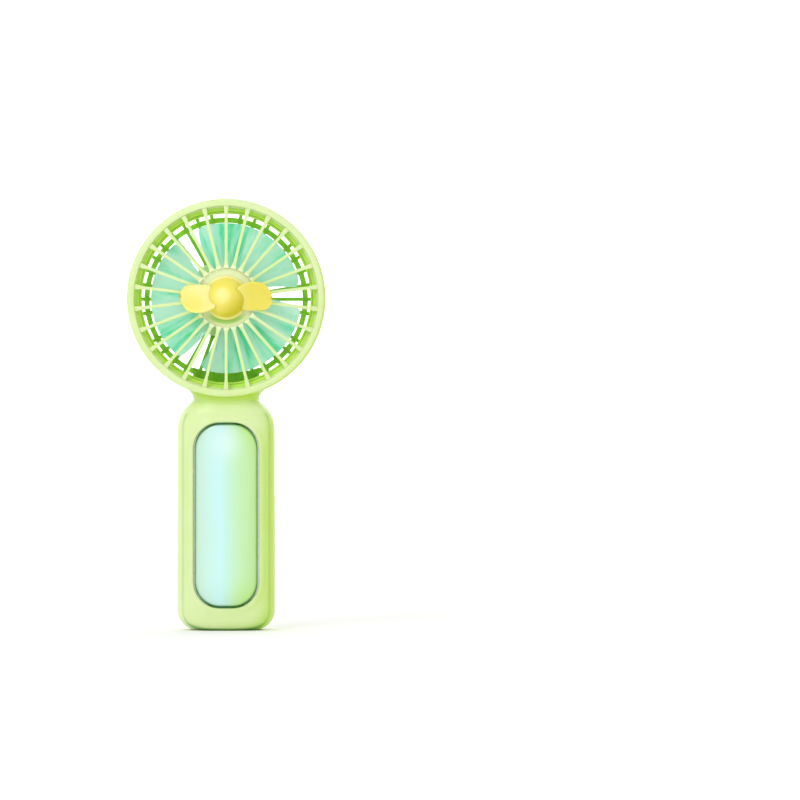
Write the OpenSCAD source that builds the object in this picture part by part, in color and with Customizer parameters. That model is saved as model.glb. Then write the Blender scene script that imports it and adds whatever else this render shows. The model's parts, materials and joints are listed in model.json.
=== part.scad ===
// Handheld electric fan, in millimetres.
// The origin is the middle of the flat base. +Z is up, the grille faces -Y.

/* [Handle] */
// Width of the handle
handle_w = 45.4; // [40:0.2:60]
// Depth of the handle, front to back
handle_d = 29; // [27:0.5:36]
// Height of the handle, base to the top of its shoulders
handle_h = 109; // [107:0.5:140]
// Wall thickness of both shells
wall = 2; // [1.6:0.1:2.4]
// Radius of the handle's upright edges
edge_r = 11; // [9:0.5:12]
// Radius of the shoulders
shoulder_r = 16; // [13:0.5:18]
// Radius of the lower corners
base_r = 9.5; // [7:0.5:11]
// Radius of the shoulders seen from the side
shoulder_side_r = 10; // [7:0.5:12]
// Radius of the base's front and back edges
base_side_r = 4.5; // [3:0.5:6]

/* [Neck] */
// Width of the neck
neck_w = 30.7; // [26:0.1:34]
// Depth of the neck
neck_d = 25; // [22:0.5:26]
// Radius of the neck's upright edges
neck_r = 8; // [6:0.5:9]
// How far the head sinks into the handle's top
head_sink = 1; // [0.5:0.1:2]

/* [Head] */
// Outside diameter of the head
head_d = 92; // [90:0.5:112]
// Depth of the bezel in front of the parting line
bezel_h = 17; // [16:0.5:20]
// Depth of the cage behind the parting line
cage_h = 18.5; // [18.5:0.5:23]
// Thickness of the head's rim
rim_t = 3; // [2.8:0.1:3.6]

/* [Front grille] */
// Number of ribs
rib_n = 26; // [16:1:30]
// Width of a rib
rib_w = 1.4; // [1:0.1:2]
// Depth of a rib, front to back
rib_depth = 2.2; // [1.8:0.1:3]
// Diameter of the hub disc
hub_d = 28; // [24:0.5:34]
// Thickness of the hub disc
hub_t = 2.4; // [2:0.1:3]
// Width of the sloping ring between ribs and rim
slope_w = 3.8; // [3:0.1:4.5]
// How far the hub stands forward of the ribs' outer ends
grille_rise = 4; // [3:0.1:5]

/* [Rear cage] */
// Number of spokes, counting those that the neck takes
spoke_n = 36; // [24:1:40]
// Width of a spoke
spoke_w = 1.6; // [1.2:0.1:2]
// Thickness of the cage's wall
spoke_t = 2.6; // [2:0.1:3]
// Radius where the cage turns from its back to its side
cage_r = 12; // [8:0.5:14]
// Outside diameter of the ring that ties the spokes
tie_d = 76.6; // [70:0.2:80]
// Width of the tie ring
tie_w = 2.5; // [2:0.1:3]
// Width of the wide rib that hides the motor leads
duct_w = 8.1; // [7.5:0.1:11]

/* [Motor cup] */
// Outside diameter of the motor cup
cup_d = 36.4; // [36:0.2:40]
// Wall thickness of the motor cup
cup_wall = 1.6; // [1.4:0.1:2]
// Thickness of the plate that the motor is screwed to
plate_t = 1.8; // [1.5:0.1:2.2]
// Diameter of the motor
motor_d = 24; // [22:0.5:24.5]
// Length of the motor without its boss
motor_l = 12.3; // [12:0.1:12.5]
// Diameter of the motor shaft
shaft_d = 2; // [1.5:0.1:2.3]

/* [Rear controls] */
// Diameter of the rear cover disc
cover_d = 33.6; // [33:0.1:34]
// Thickness of the rear cover disc
cover_t = 1.6; // [1.4:0.1:1.8]
// How far the rear cover stands behind the cage
cover_rise = 1.5; // [1:0.1:2]
// Diameter of the power button
button_d = 11.5; // [9:0.1:13]
// How far the button stands behind the cover
button_rise = 0.9; // [0.7:0.1:1.5]
// Travel of the button
button_travel = 0.5; // [0.2:0.1:0.5]
// Diameter of the indicator hole
led_hole_d = 1.4; // [1:0.1:2]
// Height of the indicator hole above the button's middle
led_rise = 11.4; // [10:0.1:12]

/* [Impeller] */
// Number of blades
blade_n = 3; // [2:1:5]
// Gap between the blade tips and the grille's sloping ring
tip_gap = 4.3; // [2.8:0.1:6]
// Depth of the impeller, front to back
impeller_h = 10; // [8:0.5:10.5]
// Diameter of the impeller's hub
impeller_hub_d = 26; // [22:0.5:28]
// Gap between two blades, as an angle
blade_gap = 16; // [10:1:30]

/* [Propeller] */
// Diameter over the tips of the small propeller
prop_d = 42.8; // [34:0.2:48]
// Diameter of the propeller's ball nose
prop_ball_d = 18.2; // [15:0.1:19]
// Diameter of the flange under the ball nose
prop_flange_d = 20.6; // [20:0.1:23]
// Width of a propeller blade
prop_chord = 13.4; // [10:0.1:14]
// Thickness of a propeller blade
prop_t = 1.4; // [1:0.1:2]
// Pitch of the propeller blades
prop_pitch = 25; // [15:1:30]
// Diameter of the propeller's axle
axle_d = 2; // [1.5:0.1:2.5]

/* [Light panel] */
// Width of the window in the handle
win_w = 30.4; // [26:0.2:31]
// Height of the window
win_h = 85.8; // [70:0.2:87]
// Height of the window's lower edge above the base
win_z = 10.5; // [10:0.1:14]
// Corner radius of the window
win_r = 12.3; // [8:0.1:12.5]
// How far the panel's flange reaches behind the frame
flange_w = 1.2; // [1:0.1:1.4]

/* [Electrics] */
// Diameter of the battery cell
cell_d = 18.3; // [16:0.1:18.6]
// Length of the battery cell
cell_l = 65; // [50:0.5:70]
// Height of the cell's lower end above the base
cell_z = 25; // [24.5:0.1:27]
// Thickness of the circuit boards
board_t = 1.2; // [0.8:0.1:1.4]
// Width of the main board
board_w = 30; // [26:0.5:32]
// Height of the main board
board_h = 19; // [17:0.5:20]
// Diameter of the insulated leads
lead_d = 1.2; // [0.8:0.1:1.4]

/* [Lanyard eyelet] */
// Width of the eyelet
eyelet_w = 4.6; // [3.5:0.1:6]
// Height of the eyelet's rear mouth
eyelet_h = 2.8; // [2:0.1:3]
// Thickness of the bar that the lanyard loops round
eyelet_bar = 2.6; // [2:0.1:3]

/* [Fits] */
// Clearance round pieces that are seated
seat_gap = 0.1; // [0.05:0.01:0.15]
// Running clearance round shafts, per side
run_gap = 0.05; // [0.03:0.01:0.08]
// Clearance round a plug or a socket in a shell
socket_gap = 0.3; // [0.2:0.05:0.4]

/* [Hidden] */
$fn = 96;
eps = 0.01;

// Colours
shell_lime = [0.87, 0.94, 0.68];
mint = [0.62, 0.88, 0.78];
butter = [0.97, 0.92, 0.58];
steel = [0.75, 0.76, 0.78];
copper = [0.80, 0.48, 0.25];
board_green = [0.10, 0.38, 0.24];

// Head
head_r = head_d / 2;
head_z = handle_h - head_sink + head_r;
seat_r = head_r - rim_t;
slope_out = seat_r - seat_gap;
slope_in = slope_out - slope_w;
slope_back = -bezel_h / 2 + 0.5;
stop_t = 1.2;
stop_w = 1.7;
joint_w = 1;
joint_h = 2;

// Grille: the ribs' front edges lie on one large sphere
rib_end = -bezel_h + 2.6;
hub_r = hub_d / 2;
dome_r = (pow(slope_out, 2) - pow(hub_r, 2)) / (2 * grille_rise);
dome_y = rib_end + sqrt(pow(dome_r, 2) - pow(slope_out, 2));
hub_front = dome_y - sqrt(pow(dome_r, 2) - pow(hub_r, 2)) - 0.3;
hub_back = hub_front + hub_t;

// Rear cage and motor cup
cup_r = cup_d / 2;
cup_in = cup_r - cup_wall;
cup_front = -0.5;
motor_front = cup_front + plate_t;
motor_back = motor_front + motor_l;
cover_back = cage_h + cover_rise;
cover_front = cover_back - cover_t;
cage_in = cage_h - spoke_t;
tie_r = tie_d / 2;
tie_sink = 1.0;

// Switch stack behind the motor
switch_board_r = cup_in - 0.8;
switch_board_y = motor_back + 0.8;
switch_base = switch_board_y + board_t;
plunger_top = cover_front - 0.65;
switch_top = plunger_top - button_travel - 0.05;
plunger_r = 1.6;
plunger_depth = 1.3;
switch_side = 6;
button_skirt = 0.8;
boss_r = 1.9;
boss_place = cup_in - 1.6;
small_screw_r = 0.75;
screw_head_r = 1.4;
screw_head_h = 0.7;

// Motor
can_t = 0.8;
motor_r = motor_d / 2;
magnet_t = 1.6;
air_gap = 0.4;
core_r = motor_r - can_t - magnet_t - air_gap;
core_l = 5;
core_y = motor_front + 2.6;
end_cap_t = 1.6;
boss_motor_r = 3;
bush_r = 2.2;
motor_screw_place = 8;

// Impeller
impeller_r = slope_in - tip_gap;
impeller_back = cup_front - 1;
impeller_front = impeller_back - impeller_h;
impeller_hub_r = impeller_hub_d / 2;
impeller_wall = 1.6;
blade_sweep = 360 / blade_n - blade_gap;
blade_slice = 12;
blade_lean = 10;
first_blade = -112;

// Propeller
flange_t = 1.2;
prop_back = hub_front - 0.5;
flange_front = prop_back - flange_t;
ball_h = 7.5;
ball_r = (pow(prop_ball_d / 2, 2) + pow(ball_h, 2)) / (2 * ball_h);
ball_y = flange_front - ball_h + ball_r;
axle_r = axle_d / 2;
axle_front = flange_front - 5;
clip_t = 0.5;
clip_gap = 0.3;

// Handle
front_y = -handle_d / 2;
back_y = handle_d / 2;
pocket_y = front_y + wall + 0.1;
flange_back = pocket_y + 1.2;
panel_crown = 0.7;
panel_wall = 1.6;
light_board_y = flange_back;
light_board_t = 1;
cell_r = cell_d / 2;
cell_y = back_y - wall - cell_r - 0.8;
tab_t = 0.3;
board_y = -3;
board_z = wall + 1.4;
socket_w = 8.9;
socket_d = 3.2;
socket_l = 7.3;
socket_y = board_y - socket_d / 2;
socket_z = 0.5;
post_r = 2.2;
post_x = board_w / 2 - 3.5;
post_z = board_z + board_h - 4;
lead_r = lead_d / 2;
lead_sides = 8;
lead_off = lead_r + 0.1;
lead_x = handle_w / 2 - wall - 2.4;
cradle_t = 2;
crown_r = 90;
lead_y = 4;
lead_hole_y = 8;
eyelet_z = 3;
eyelet_run = 4.6;
eyelet_back = back_y - eyelet_bar;

// Axis of the head: local Z becomes world Y, local Y points down
module head_axis() {
    translate([0, 0, head_z]) rotate([-90, 0, 0]) children();
}

// Turns a radius-and-depth outline about the head's axis
module turned() {
    head_axis() rotate_extrude() children();
}

// Lifts an outline drawn in X and Z to a plate between two depths
module plate_y(y_front, y_back) {
    translate([0, y_back, 0]) rotate([90, 0, 0]) linear_extrude(y_back - y_front) children();
}

// Rectangle from r0 to r1 and from y0 to y1
module band(r0, r1, y0, y1) {
    translate([r0, y0]) square([r1 - r0, y1 - y0]);
}

// Upright outline with its own radius at the top and at the bottom
module rounded_outline(w, z0, z1, r_top, r_bottom) {
    translate([-w / 2, z0 + r_bottom]) square([w, z1 - z0 - r_top - r_bottom]);
    translate([-w / 2 + r_top, z0 + r_bottom]) square([w - 2 * r_top, z1 - z0 - r_bottom]);
    translate([-w / 2 + r_bottom, z0]) square([w - 2 * r_bottom, z1 - z0 - r_top]);
    for (side = [-1, 1]) {
        translate([side * (w / 2 - r_top), z1 - r_top]) circle(r_top);
        translate([side * (w / 2 - r_bottom), z0 + r_bottom]) circle(r_bottom);
    }
}

// Plan outline of the handle or the neck
module plan(w, d, r) {
    rounded_outline(w, -d / 2, d / 2, r, r);
}

// Handle, drawn in by an inset on every side
module handle_form(inset) {
    intersection() {
        plate_y(-handle_d, handle_d)
            rounded_outline(handle_w - 2 * inset, inset, handle_h - inset,
                shoulder_r - inset, base_r - inset);
        rotate([90, 0, 90]) linear_extrude(2 * handle_w, center = true)
            rounded_outline(handle_d - 2 * inset, inset, handle_h - inset,
                shoulder_side_r - inset, base_side_r - inset);
        linear_extrude(handle_h) plan(handle_w - 2 * inset, handle_d - 2 * inset, edge_r - inset);
    }
}

// Neck, from inside the handle's shoulders to inside the head
module neck_form(inset) {
    translate([0, 0, handle_h - shoulder_r])
        linear_extrude(shoulder_r + 8)
            plan(neck_w - 2 * inset, neck_d - 2 * inset, neck_r - inset);
}

// Round space of the head, to a given radius
module head_space(r) {
    head_axis() translate([0, 0, -40]) cylinder(r = r, h = 80);
}

// Hollow handle and neck without the head
module grip_wall() {
    difference() {
        union() {
            handle_form(0);
            neck_form(0);
        }
        head_space(head_r - rim_t / 2);
        difference() {
            union() {
                handle_form(wall);
                neck_form(wall);
            }
            head_space(head_r);
        }
    }
}

// Everything in front of the parting line, or behind it
module half_space(side) {
    translate([-handle_w, side < 0 ? -2 * handle_d : 0, -1])
        cube([2 * handle_w, 2 * handle_d, head_z]);
}

// Hoop just inside the handle's walls, between two depths
module inner_hoop(out, y_front, y_back) {
    intersection() {
        difference() {
            handle_form(out);
            handle_form(wall + seat_gap + joint_w);
            translate([-neck_w, -handle_d, handle_h - shoulder_r - joint_h])
                cube([2 * neck_w, 2 * handle_d, handle_h]);
        }
        translate([-handle_w, y_front, 0]) cube([2 * handle_w, y_back - y_front, handle_h]);
    }
}

// Lip of the rear shell that locates the front shell
module joint_lip() {
    inner_hoop(wall + seat_gap, -joint_h, eps);
    inner_hoop(wall - 0.2, 0, joint_h);
}

module window_outline(grow) {
    rounded_outline(win_w + 2 * grow, win_z - grow, win_z + win_h + grow,
        win_r + grow, win_r + grow);
}

module socket_outline(grow) {
    r = socket_d / 2 + grow;
    square([socket_w - socket_d, 2 * r], center = true);
    for (side = [-1, 1]) translate([side * (socket_w - socket_d) / 2, 0]) circle(r);
}

module front_shell() color(shell_lime) {
    lip_r = rim_t / 2;
    turned() difference() {
        union() {
            translate([head_r - lip_r, -bezel_h + lip_r]) circle(lip_r);
            band(seat_r, head_r, -bezel_h + lip_r, 0);
            band(seat_r - stop_w, seat_r + eps, slope_back + seat_gap, slope_back + seat_gap + stop_t);
        }
        band(head_r - lip_r - joint_w / 2 - seat_gap, head_r - lip_r + joint_w / 2 + seat_gap,
            -joint_h - seat_gap, 1);
    }
    difference() {
        intersection() {
            grip_wall();
            half_space(-1);
        }
        head_space(head_r - 0.4);
        plate_y(-handle_d, 0) window_outline(0);
        plate_y(pocket_y, -6) window_outline(flange_w + seat_gap);
        translate([0, socket_y, -1]) linear_extrude(wall + 2) socket_outline(socket_gap);
    }
}

// One rib's side view, radius against depth
module rib_outline() {
    intersection() {
        difference() {
            translate([0, dome_y]) circle(dome_r, $fn = 360);
            translate([0, dome_y + rib_depth]) circle(dome_r, $fn = 360);
        }
        band(hub_r - 1, slope_out - 0.2, -2 * bezel_h, 0);
    }
    band(slope_in + 0.3, slope_out - 0.2, rib_end + 0.2, slope_back - 0.5);
}

module front_grille() color(shell_lime) {
    turned() {
        polygon([[slope_out, rib_end - 0.4], [slope_out, slope_back],
            [slope_in, slope_back], [slope_in, slope_back - 2.4]]);
    }
    head_axis() difference() {
        translate([0, 0, hub_front]) cylinder(r = hub_r, h = hub_t);
        translate([0, 0, hub_front - 1]) cylinder(r = axle_r + run_gap, h = hub_t + 2);
    }
    head_axis() for (i = [0 : rib_n - 1])
        rotate([0, 0, 90 + i * 360 / rib_n]) rotate([90, 0, 0])
            linear_extrude(rib_w, center = true) rib_outline();
}

// Side view of the cage's wall, radius against depth
module cage_outline(inset) {
    r = cage_r - inset;
    band(0, head_r - inset - r, 0, cage_h - inset);
    band(0, head_r - inset, 0, cage_h - inset - r);
    translate([head_r - inset - r, cage_h - inset - r]) circle(r);
}

// Side view of one spoke, from the motor cup to the rim
module spoke_outline() {
    intersection() {
        difference() {
            cage_outline(0);
            cage_outline(spoke_t);
        }
        band(cup_r - 1, head_r + 1, joint_h, cage_h + 1);
    }
}

// True where the wide rib leaves room for a spoke
function spoke_free(i) = abs(i * 360 / spoke_n - 180) > 25;

module cage_spokes() {
    head_axis() for (i = [0 : spoke_n - 1]) if (spoke_free(i))
        rotate([0, 0, -90 + i * 360 / spoke_n]) rotate([90, 0, 0])
            linear_extrude(spoke_w, center = true) spoke_outline();
}

// Solid part of the cage above the neck, with the wide rib that covers the leads
module cage_foot() {
    intersection() {
        turned() spoke_outline();
        plate_y(0, cage_h + 1) {
            translate([-neck_w / 2, 0]) square([neck_w, head_z - head_r + cage_r]);
            translate([-duct_w / 2, 0]) square([duct_w, head_z - cup_r + 1]);
        }
    }
}

// Side walls of the lead duct
module duct_walls() {
    for (side = [-1, 1])
        translate([side * (duct_w / 2 - 0.6) - 0.6, cage_in - 4, head_z - head_r + 7])
            cube([1.2, 4 + eps, head_r - 7 - cup_r + 0.4]);
}

module motor_cup() {
    head_axis() difference() {
        translate([0, 0, cup_front]) cylinder(r = cup_r, h = cover_back - cup_front - 0.2);
        difference() {
            translate([0, 0, motor_front]) cylinder(r = cup_in, h = 40);
            for (side = [-1, 1])
                translate([side * boss_place, 0, motor_front - 1])
                    cylinder(r = boss_r, h = switch_board_y - motor_front + 1);
        }
        translate([0, 0, cover_front]) cylinder(r = cover_d / 2 + seat_gap, h = 10);
        translate([0, 0, cup_front - 1]) cylinder(r = boss_motor_r + seat_gap, h = 10);
        for (side = [-1, 1]) {
            translate([side * boss_place, 0, motor_front + 3])
                cylinder(r = small_screw_r + run_gap, h = 20);
            translate([0, side * motor_screw_place, cup_front - 1])
                cylinder(r = 1.1, h = 10);
        }
        translate([-duct_w / 2 + 1.2, cup_in - 3, switch_board_y - 3])
            cube([duct_w - 2.4, 6, 2.6]);
    }
}

module cell_cradles() {
    for (z = [cell_z + 8, cell_z + cell_l - 10])
        difference() {
            intersection() {
                translate([-handle_w / 2, cell_y - 1, z]) cube([handle_w, handle_d, cradle_t]);
                handle_form(wall - 0.3);
                translate([-cell_r - 3, 0, 0]) cube([2 * cell_r + 6, handle_d, handle_h]);
            }
            translate([0, cell_y, 0]) cylinder(r = cell_r + seat_gap, h = handle_h);
        }
}

module rear_shell() color(shell_lime) {
    lip_r = rim_t / 2;
    turned() {
        band(seat_r, head_r, 0, joint_h + 1.5);
        band(head_r - lip_r - joint_w / 2, head_r - lip_r + joint_w / 2, -joint_h, eps);
        band(tie_r - tie_w, tie_r, cage_in, cage_h - tie_sink);
    }
    cage_spokes();
    duct_walls();
    motor_cup();
    joint_lip();
    cell_cradles();
    difference() {
        union() {
            intersection() {
                grip_wall();
                half_space(1);
                translate([-handle_w, 0, 0]) cube([2 * handle_w, cage_h, head_z]);
            }
            cage_foot();
            eyelet_block();
            for (side = [-1, 1])
                translate([side * post_x, back_y - wall / 2, post_z]) rotate([90, 0, 0])
                    cylinder(r = post_r, h = back_y - wall / 2 - board_y - board_t);
        }
        translate([0, lead_hole_y, handle_h - shoulder_r]) cylinder(r = 2.4, h = shoulder_r + 9);
        for (side = [-1, 1])
            translate([side * post_x, board_y + board_t + 6, post_z]) rotate([90, 0, 0])
                cylinder(r = small_screw_r + run_gap, h = 10);
        eyelet_mouth();
    }
}

// Solid round the eyelet, so that it doesn't open into the handle
module eyelet_block() {
    translate([-eyelet_w / 2 - 1.2, eyelet_back - eyelet_run - 1.2, wall - 0.5])
        cube([eyelet_w + 2.4, eyelet_run + 1.4, eyelet_z + eyelet_h - wall + 1.7]);
}

// Way in from the back face and down through the base, behind the bar
module eyelet_mouth() {
    translate([-eyelet_w / 2, eyelet_back - eyelet_run, -1])
        cube([eyelet_w, eyelet_run, eyelet_z + 1 + eps]);
    translate([-eyelet_w / 2, eyelet_back - eyelet_run, eyelet_z])
        cube([eyelet_w, handle_d, eyelet_h]);
}

module rear_cover() color(shell_lime) {
    pill_w = 12;
    pill_h = 3.8;
    pill_drop = 9.7;
    head_axis() difference() {
        union() {
            translate([0, 0, cover_front]) cylinder(r = cover_d / 2, h = cover_t - 0.3);
            translate([0, 0, cover_back - 0.3 - eps])
                cylinder(r1 = cover_d / 2, r2 = cover_d / 2 - 0.3, h = 0.3);
        }
        translate([0, 0, cover_front - 1]) cylinder(r = button_d / 2 + seat_gap, h = 10);
        translate([0, -led_rise, cover_front - 1]) cylinder(r = led_hole_d / 2, h = 10);
        translate([-pill_w / 2 + pill_h / 2, pill_drop - pill_h / 2, cover_back - 0.4])
            cube([pill_w - pill_h, pill_h, 1]);
        for (side = [-1, 1])
            translate([side * (pill_w - pill_h) / 2, pill_drop, cover_back - 0.4])
                cylinder(r = pill_h / 2, h = 1);
    }
}

// Cap with a flange that keeps it behind the cover
module power_button() color(shell_lime) head_axis() {
    translate([0, 0, plunger_top]) cylinder(r = button_d / 2 + button_skirt, h = 0.55);
    translate([0, 0, plunger_top]) cylinder(r = button_d / 2, h = cover_back - plunger_top + button_rise - 0.4);
    translate([0, 0, cover_back + button_rise - 0.4 - eps])
        cylinder(r1 = button_d / 2, r2 = button_d / 2 - 0.5, h = 0.4);
}

module switch_body() color([0.15, 0.15, 0.16]) head_axis() difference() {
    translate([-switch_side / 2, -switch_side / 2, switch_base])
        cube([switch_side, switch_side, switch_top - switch_base]);
    translate([0, 0, plunger_top - plunger_depth - button_travel - 0.2])
        cylinder(r = plunger_r + run_gap, h = 5);
}

module switch_plunger() color("white") head_axis()
    translate([0, 0, plunger_top - plunger_depth])
        cylinder(r = plunger_r, h = plunger_depth - 0.02);

module switch_board() color(board_green) head_axis() difference() {
    translate([0, 0, switch_board_y]) cylinder(r = switch_board_r, h = board_t);
    for (side = [-1, 1]) translate([side * boss_place, 0, 0])
        cylinder(r = small_screw_r + seat_gap, h = 40);
}

// Round-headed screw with its head's underside at the origin
module small_screw(length) {
    translate([0, 0, -length]) cylinder(r = small_screw_r, h = length + eps);
    difference() {
        cylinder(r = screw_head_r, h = screw_head_h);
        translate([-0.9, -0.2, screw_head_h - 0.3]) cube([1.8, 0.4, 1]);
        translate([-0.2, -0.9, screw_head_h - 0.3]) cube([0.4, 1.8, 1]);
    }
}

module switch_screws() color(steel) head_axis()
    for (side = [-1, 1]) translate([side * boss_place, 0, switch_base]) small_screw(5);

module indicator_light() color("white") head_axis()
    translate([-0.8, -led_rise - 0.4, switch_base]) cube([1.6, 0.8, 0.7]);

module motor_can() color(steel) head_axis() {
    difference() {
        translate([0, 0, motor_front]) cylinder(r = motor_r, h = motor_l - end_cap_t);
        translate([0, 0, motor_front + 1]) cylinder(r = motor_r - can_t, h = 40);
        translate([0, 0, motor_front - 1]) cylinder(r = bush_r + 0.02, h = 5);
        for (side = [-1, 1]) translate([0, side * motor_screw_place, 0])
            cylinder(r = 1.05, h = 5);
    }
    difference() {
        translate([0, 0, cup_front - 0.3]) cylinder(r = boss_motor_r, h = motor_front - cup_front + 0.3);
        translate([0, 0, cup_front - 1]) cylinder(r = bush_r + 0.02, h = 9);
    }
}

module motor_end_cap() color("white") head_axis() difference() {
    translate([0, 0, motor_back - end_cap_t + 0.02]) cylinder(r = motor_r, h = end_cap_t - 0.02);
    translate([0, 0, motor_back - end_cap_t - 1]) cylinder(r = bush_r + 0.02, h = end_cap_t + 0.72);
}

module motor_magnets() color([0.2, 0.2, 0.22]) head_axis() for (turn = [0, 180])
    rotate([0, 0, turn - 60]) translate([0, 0, core_y - 0.5]) rotate_extrude(angle = 120)
        band(motor_r - can_t - magnet_t, motor_r - can_t - 0.02, 0, core_l + 1);

// Sintered bushes in the can's boss and in the end cap
module motor_bushes() color("darkgoldenrod") head_axis() {
    for (place = [cup_front + 0.2, motor_back - end_cap_t + 0.02]) translate([0, 0, place])
        difference() {
            cylinder(r = bush_r, h = 1.3 - 0.04);
            translate([0, 0, -1]) cylinder(r = shaft_d / 2 + run_gap, h = 5);
        }
}

module motor_screws() color(steel) head_axis() for (side = [-1, 1])
    translate([0, side * motor_screw_place, cup_front]) rotate([180, 0, 0]) {
        translate([0, 0, -plate_t - 0.9]) cylinder(r = 1, h = plate_t + 0.9 + eps);
        difference() {
            cylinder(r = 1.7, h = 0.8);
            translate([-1.2, -0.25, 0.5]) cube([2.4, 0.5, 1]);
        }
    }

module motor_shaft() color(steel) head_axis()
    translate([0, 0, impeller_front + impeller_wall + 0.1])
        cylinder(r = shaft_d / 2, h = motor_back - 0.4 - impeller_front - impeller_wall - 0.1);

// Laminated core with three slots for the windings
module armature_core() color([0.45, 0.45, 0.47]) head_axis() difference() {
    translate([0, 0, core_y]) cylinder(r = core_r, h = core_l);
    translate([0, 0, core_y - 1]) cylinder(r = shaft_d / 2 + 0.02, h = core_l + 2);
    for (turn = [0, 120, 240]) rotate([0, 0, turn]) {
        translate([core_r - 1.5, -0.6, core_y - 1]) cube([3, 1.2, core_l + 2]);
        translate([core_r - 3.6, 0, core_y - 1]) cylinder(r = 2.3, h = core_l + 2);
    }
}

module armature_windings() color(copper) head_axis() for (turn = [0, 120, 240])
    rotate([0, 0, turn]) translate([core_r - 3.6, 0, core_y - 0.4])
        cylinder(r = 2.25, h = core_l + 0.8);

module commutator() color(copper) head_axis() difference() {
    translate([0, 0, core_y + core_l + 0.5]) cylinder(r = 2.6, h = 1.6);
    translate([0, 0, core_y + core_l]) cylinder(r = shaft_d / 2 + 0.02, h = 5);
    for (turn = [60, 180, 300]) rotate([0, 0, turn])
        translate([1.6, -0.15, core_y + core_l]) cube([2, 0.3, 5]);
}

// Two leaf brushes that stand on the end cap, one each side of the commutator
module motor_brushes() color(copper) head_axis() for (side = [-1, 1])
    translate([side * (2.6 + run_gap + 0.15) - 0.15, -2, core_y + core_l + 0.9])
        cube([0.3, 4, motor_back - end_cap_t - core_y - core_l - 0.9]);

module impeller_blade() {
    steps = 5;
    root = impeller_hub_r - 0.4;
    radii = [for (i = [0 : steps]) root + (impeller_r - root) * i / steps];
    function lean(r) = blade_lean * (r - root) / (impeller_r - root);
    function at(r, turn) = [r * cos(turn), r * sin(turn)];
    linear_extrude(impeller_h, twist = -(blade_sweep - blade_slice), slices = 20, $fn = 8)
        polygon([for (r = radii) at(r, lean(r)),
            for (turn = [4 : 4 : blade_slice]) at(impeller_r, blade_lean + turn),
            for (i = [1 : steps]) at(radii[steps - i], lean(radii[steps - i]) + blade_slice)]);
}

module impeller() color(mint) head_axis() {
    difference() {
        translate([0, 0, impeller_front]) cylinder(r = impeller_hub_r, h = impeller_h);
        difference() {
            translate([0, 0, impeller_front + impeller_wall])
                cylinder(r = impeller_hub_r - impeller_wall, h = impeller_h);
            translate([0, 0, impeller_front]) cylinder(r = shaft_d / 2 + 2.2, h = impeller_h - 1);
        }
        translate([0, 0, impeller_front + impeller_wall]) cylinder(r = shaft_d / 2 + 0.02, h = 20);
    }
    for (i = [0 : blade_n - 1]) rotate([0, 0, first_blade - blade_lean + i * 360 / blade_n])
        translate([0, 0, impeller_front]) impeller_blade();
}

// One rounded paddle, flat along the radius on one side and full on the other
module paddle() {
    round_r = 5.5;
    translate([0, prop_chord * 0.05, 0]) rotate([prop_pitch, 0, 0])
        translate([0, 0, -prop_t / 2]) linear_extrude(prop_t) intersection() {
            circle(prop_d / 2);
            union() {
                translate([prop_flange_d / 4, -prop_chord / 2])
                    square([prop_d / 2 - prop_flange_d / 4 - round_r, prop_chord]);
                translate([0, -prop_chord / 2 + round_r])
                    square([prop_d / 2, prop_chord - 2 * round_r]);
                for (side = [-1, 1])
                    translate([prop_d / 2 - round_r, side * (prop_chord / 2 - round_r)])
                        circle(round_r);
            }
        }
}

module propeller() color(butter) head_axis() difference() {
    union() {
        translate([0, 0, flange_front]) cylinder(r = prop_flange_d / 2, h = flange_t);
        rotate_extrude() intersection() {
            translate([0, ball_y]) circle(ball_r);
            band(0, prop_ball_d, flange_front - ball_h, flange_front + 0.2);
        }
        for (turn = [0, 180]) rotate([0, 0, turn])
            translate([0, 0, flange_front - prop_chord / 2 * sin(prop_pitch) - prop_t / 2])
                paddle();
    }
    translate([0, 0, axle_front]) cylinder(r = axle_r + 0.02, h = 20);
}

// Axle that turns in the hub disc, with a groove behind it for the clip
module propeller_axle() color(steel) head_axis() difference() {
    translate([0, 0, axle_front + 0.1])
        cylinder(r = axle_r, h = hub_back + clip_gap + clip_t + 0.6 - axle_front - 0.1);
    translate([0, 0, hub_back + clip_gap]) difference() {
        cylinder(r = axle_r + 1, h = clip_t);
        translate([0, 0, -1]) cylinder(r = axle_r - 0.25, h = clip_t + 2);
    }
}

// Spring clip with an open side
module axle_clip() color(steel) head_axis() translate([0, 0, hub_back + clip_gap + 0.02])
    difference() {
        cylinder(r = axle_r + 1.2, h = clip_t - 0.04);
        translate([0, 0, -1]) cylinder(r = axle_r - 0.23, h = clip_t + 2);
        translate([-axle_r + 0.35, 0, -1]) cube([2 * axle_r - 0.7, 5, clip_t + 2]);
    }

module light_panel() color([0.78, 0.94, 0.90]) difference() {
    union() {
        intersection() {
            plate_y(front_y - panel_crown, pocket_y + 0.2) window_outline(-seat_gap - 0.1);
            translate([0, front_y - panel_crown + crown_r, 0]) cylinder(r = crown_r, h = handle_h, $fn = 360);
        }
        plate_y(pocket_y + 0.1, flange_back) window_outline(flange_w);
    }
    plate_y(pocket_y - panel_wall + 0.6, 0) window_outline(-panel_wall - 0.6);
}

module light_board() color("white")
    plate_y(light_board_y + 0.02, light_board_y + light_board_t) window_outline(0.6);

module light_chips() color([1, 0.95, 0.75])
    for (z = [win_z + 15 : (win_h - 30) / 3 : win_z + win_h - 14.9])
        translate([-1.75, light_board_y + 0.02 - 1.1, z - 1.4]) cube([3.5, 1.1, 2.8]);

module foam_pad() color([0.2, 0.2, 0.2])
    translate([-6, light_board_y + light_board_t + 0.05, cell_z + 14])
        cube([12, cell_y - cell_r - light_board_y - light_board_t - 0.15, 36]);

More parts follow.
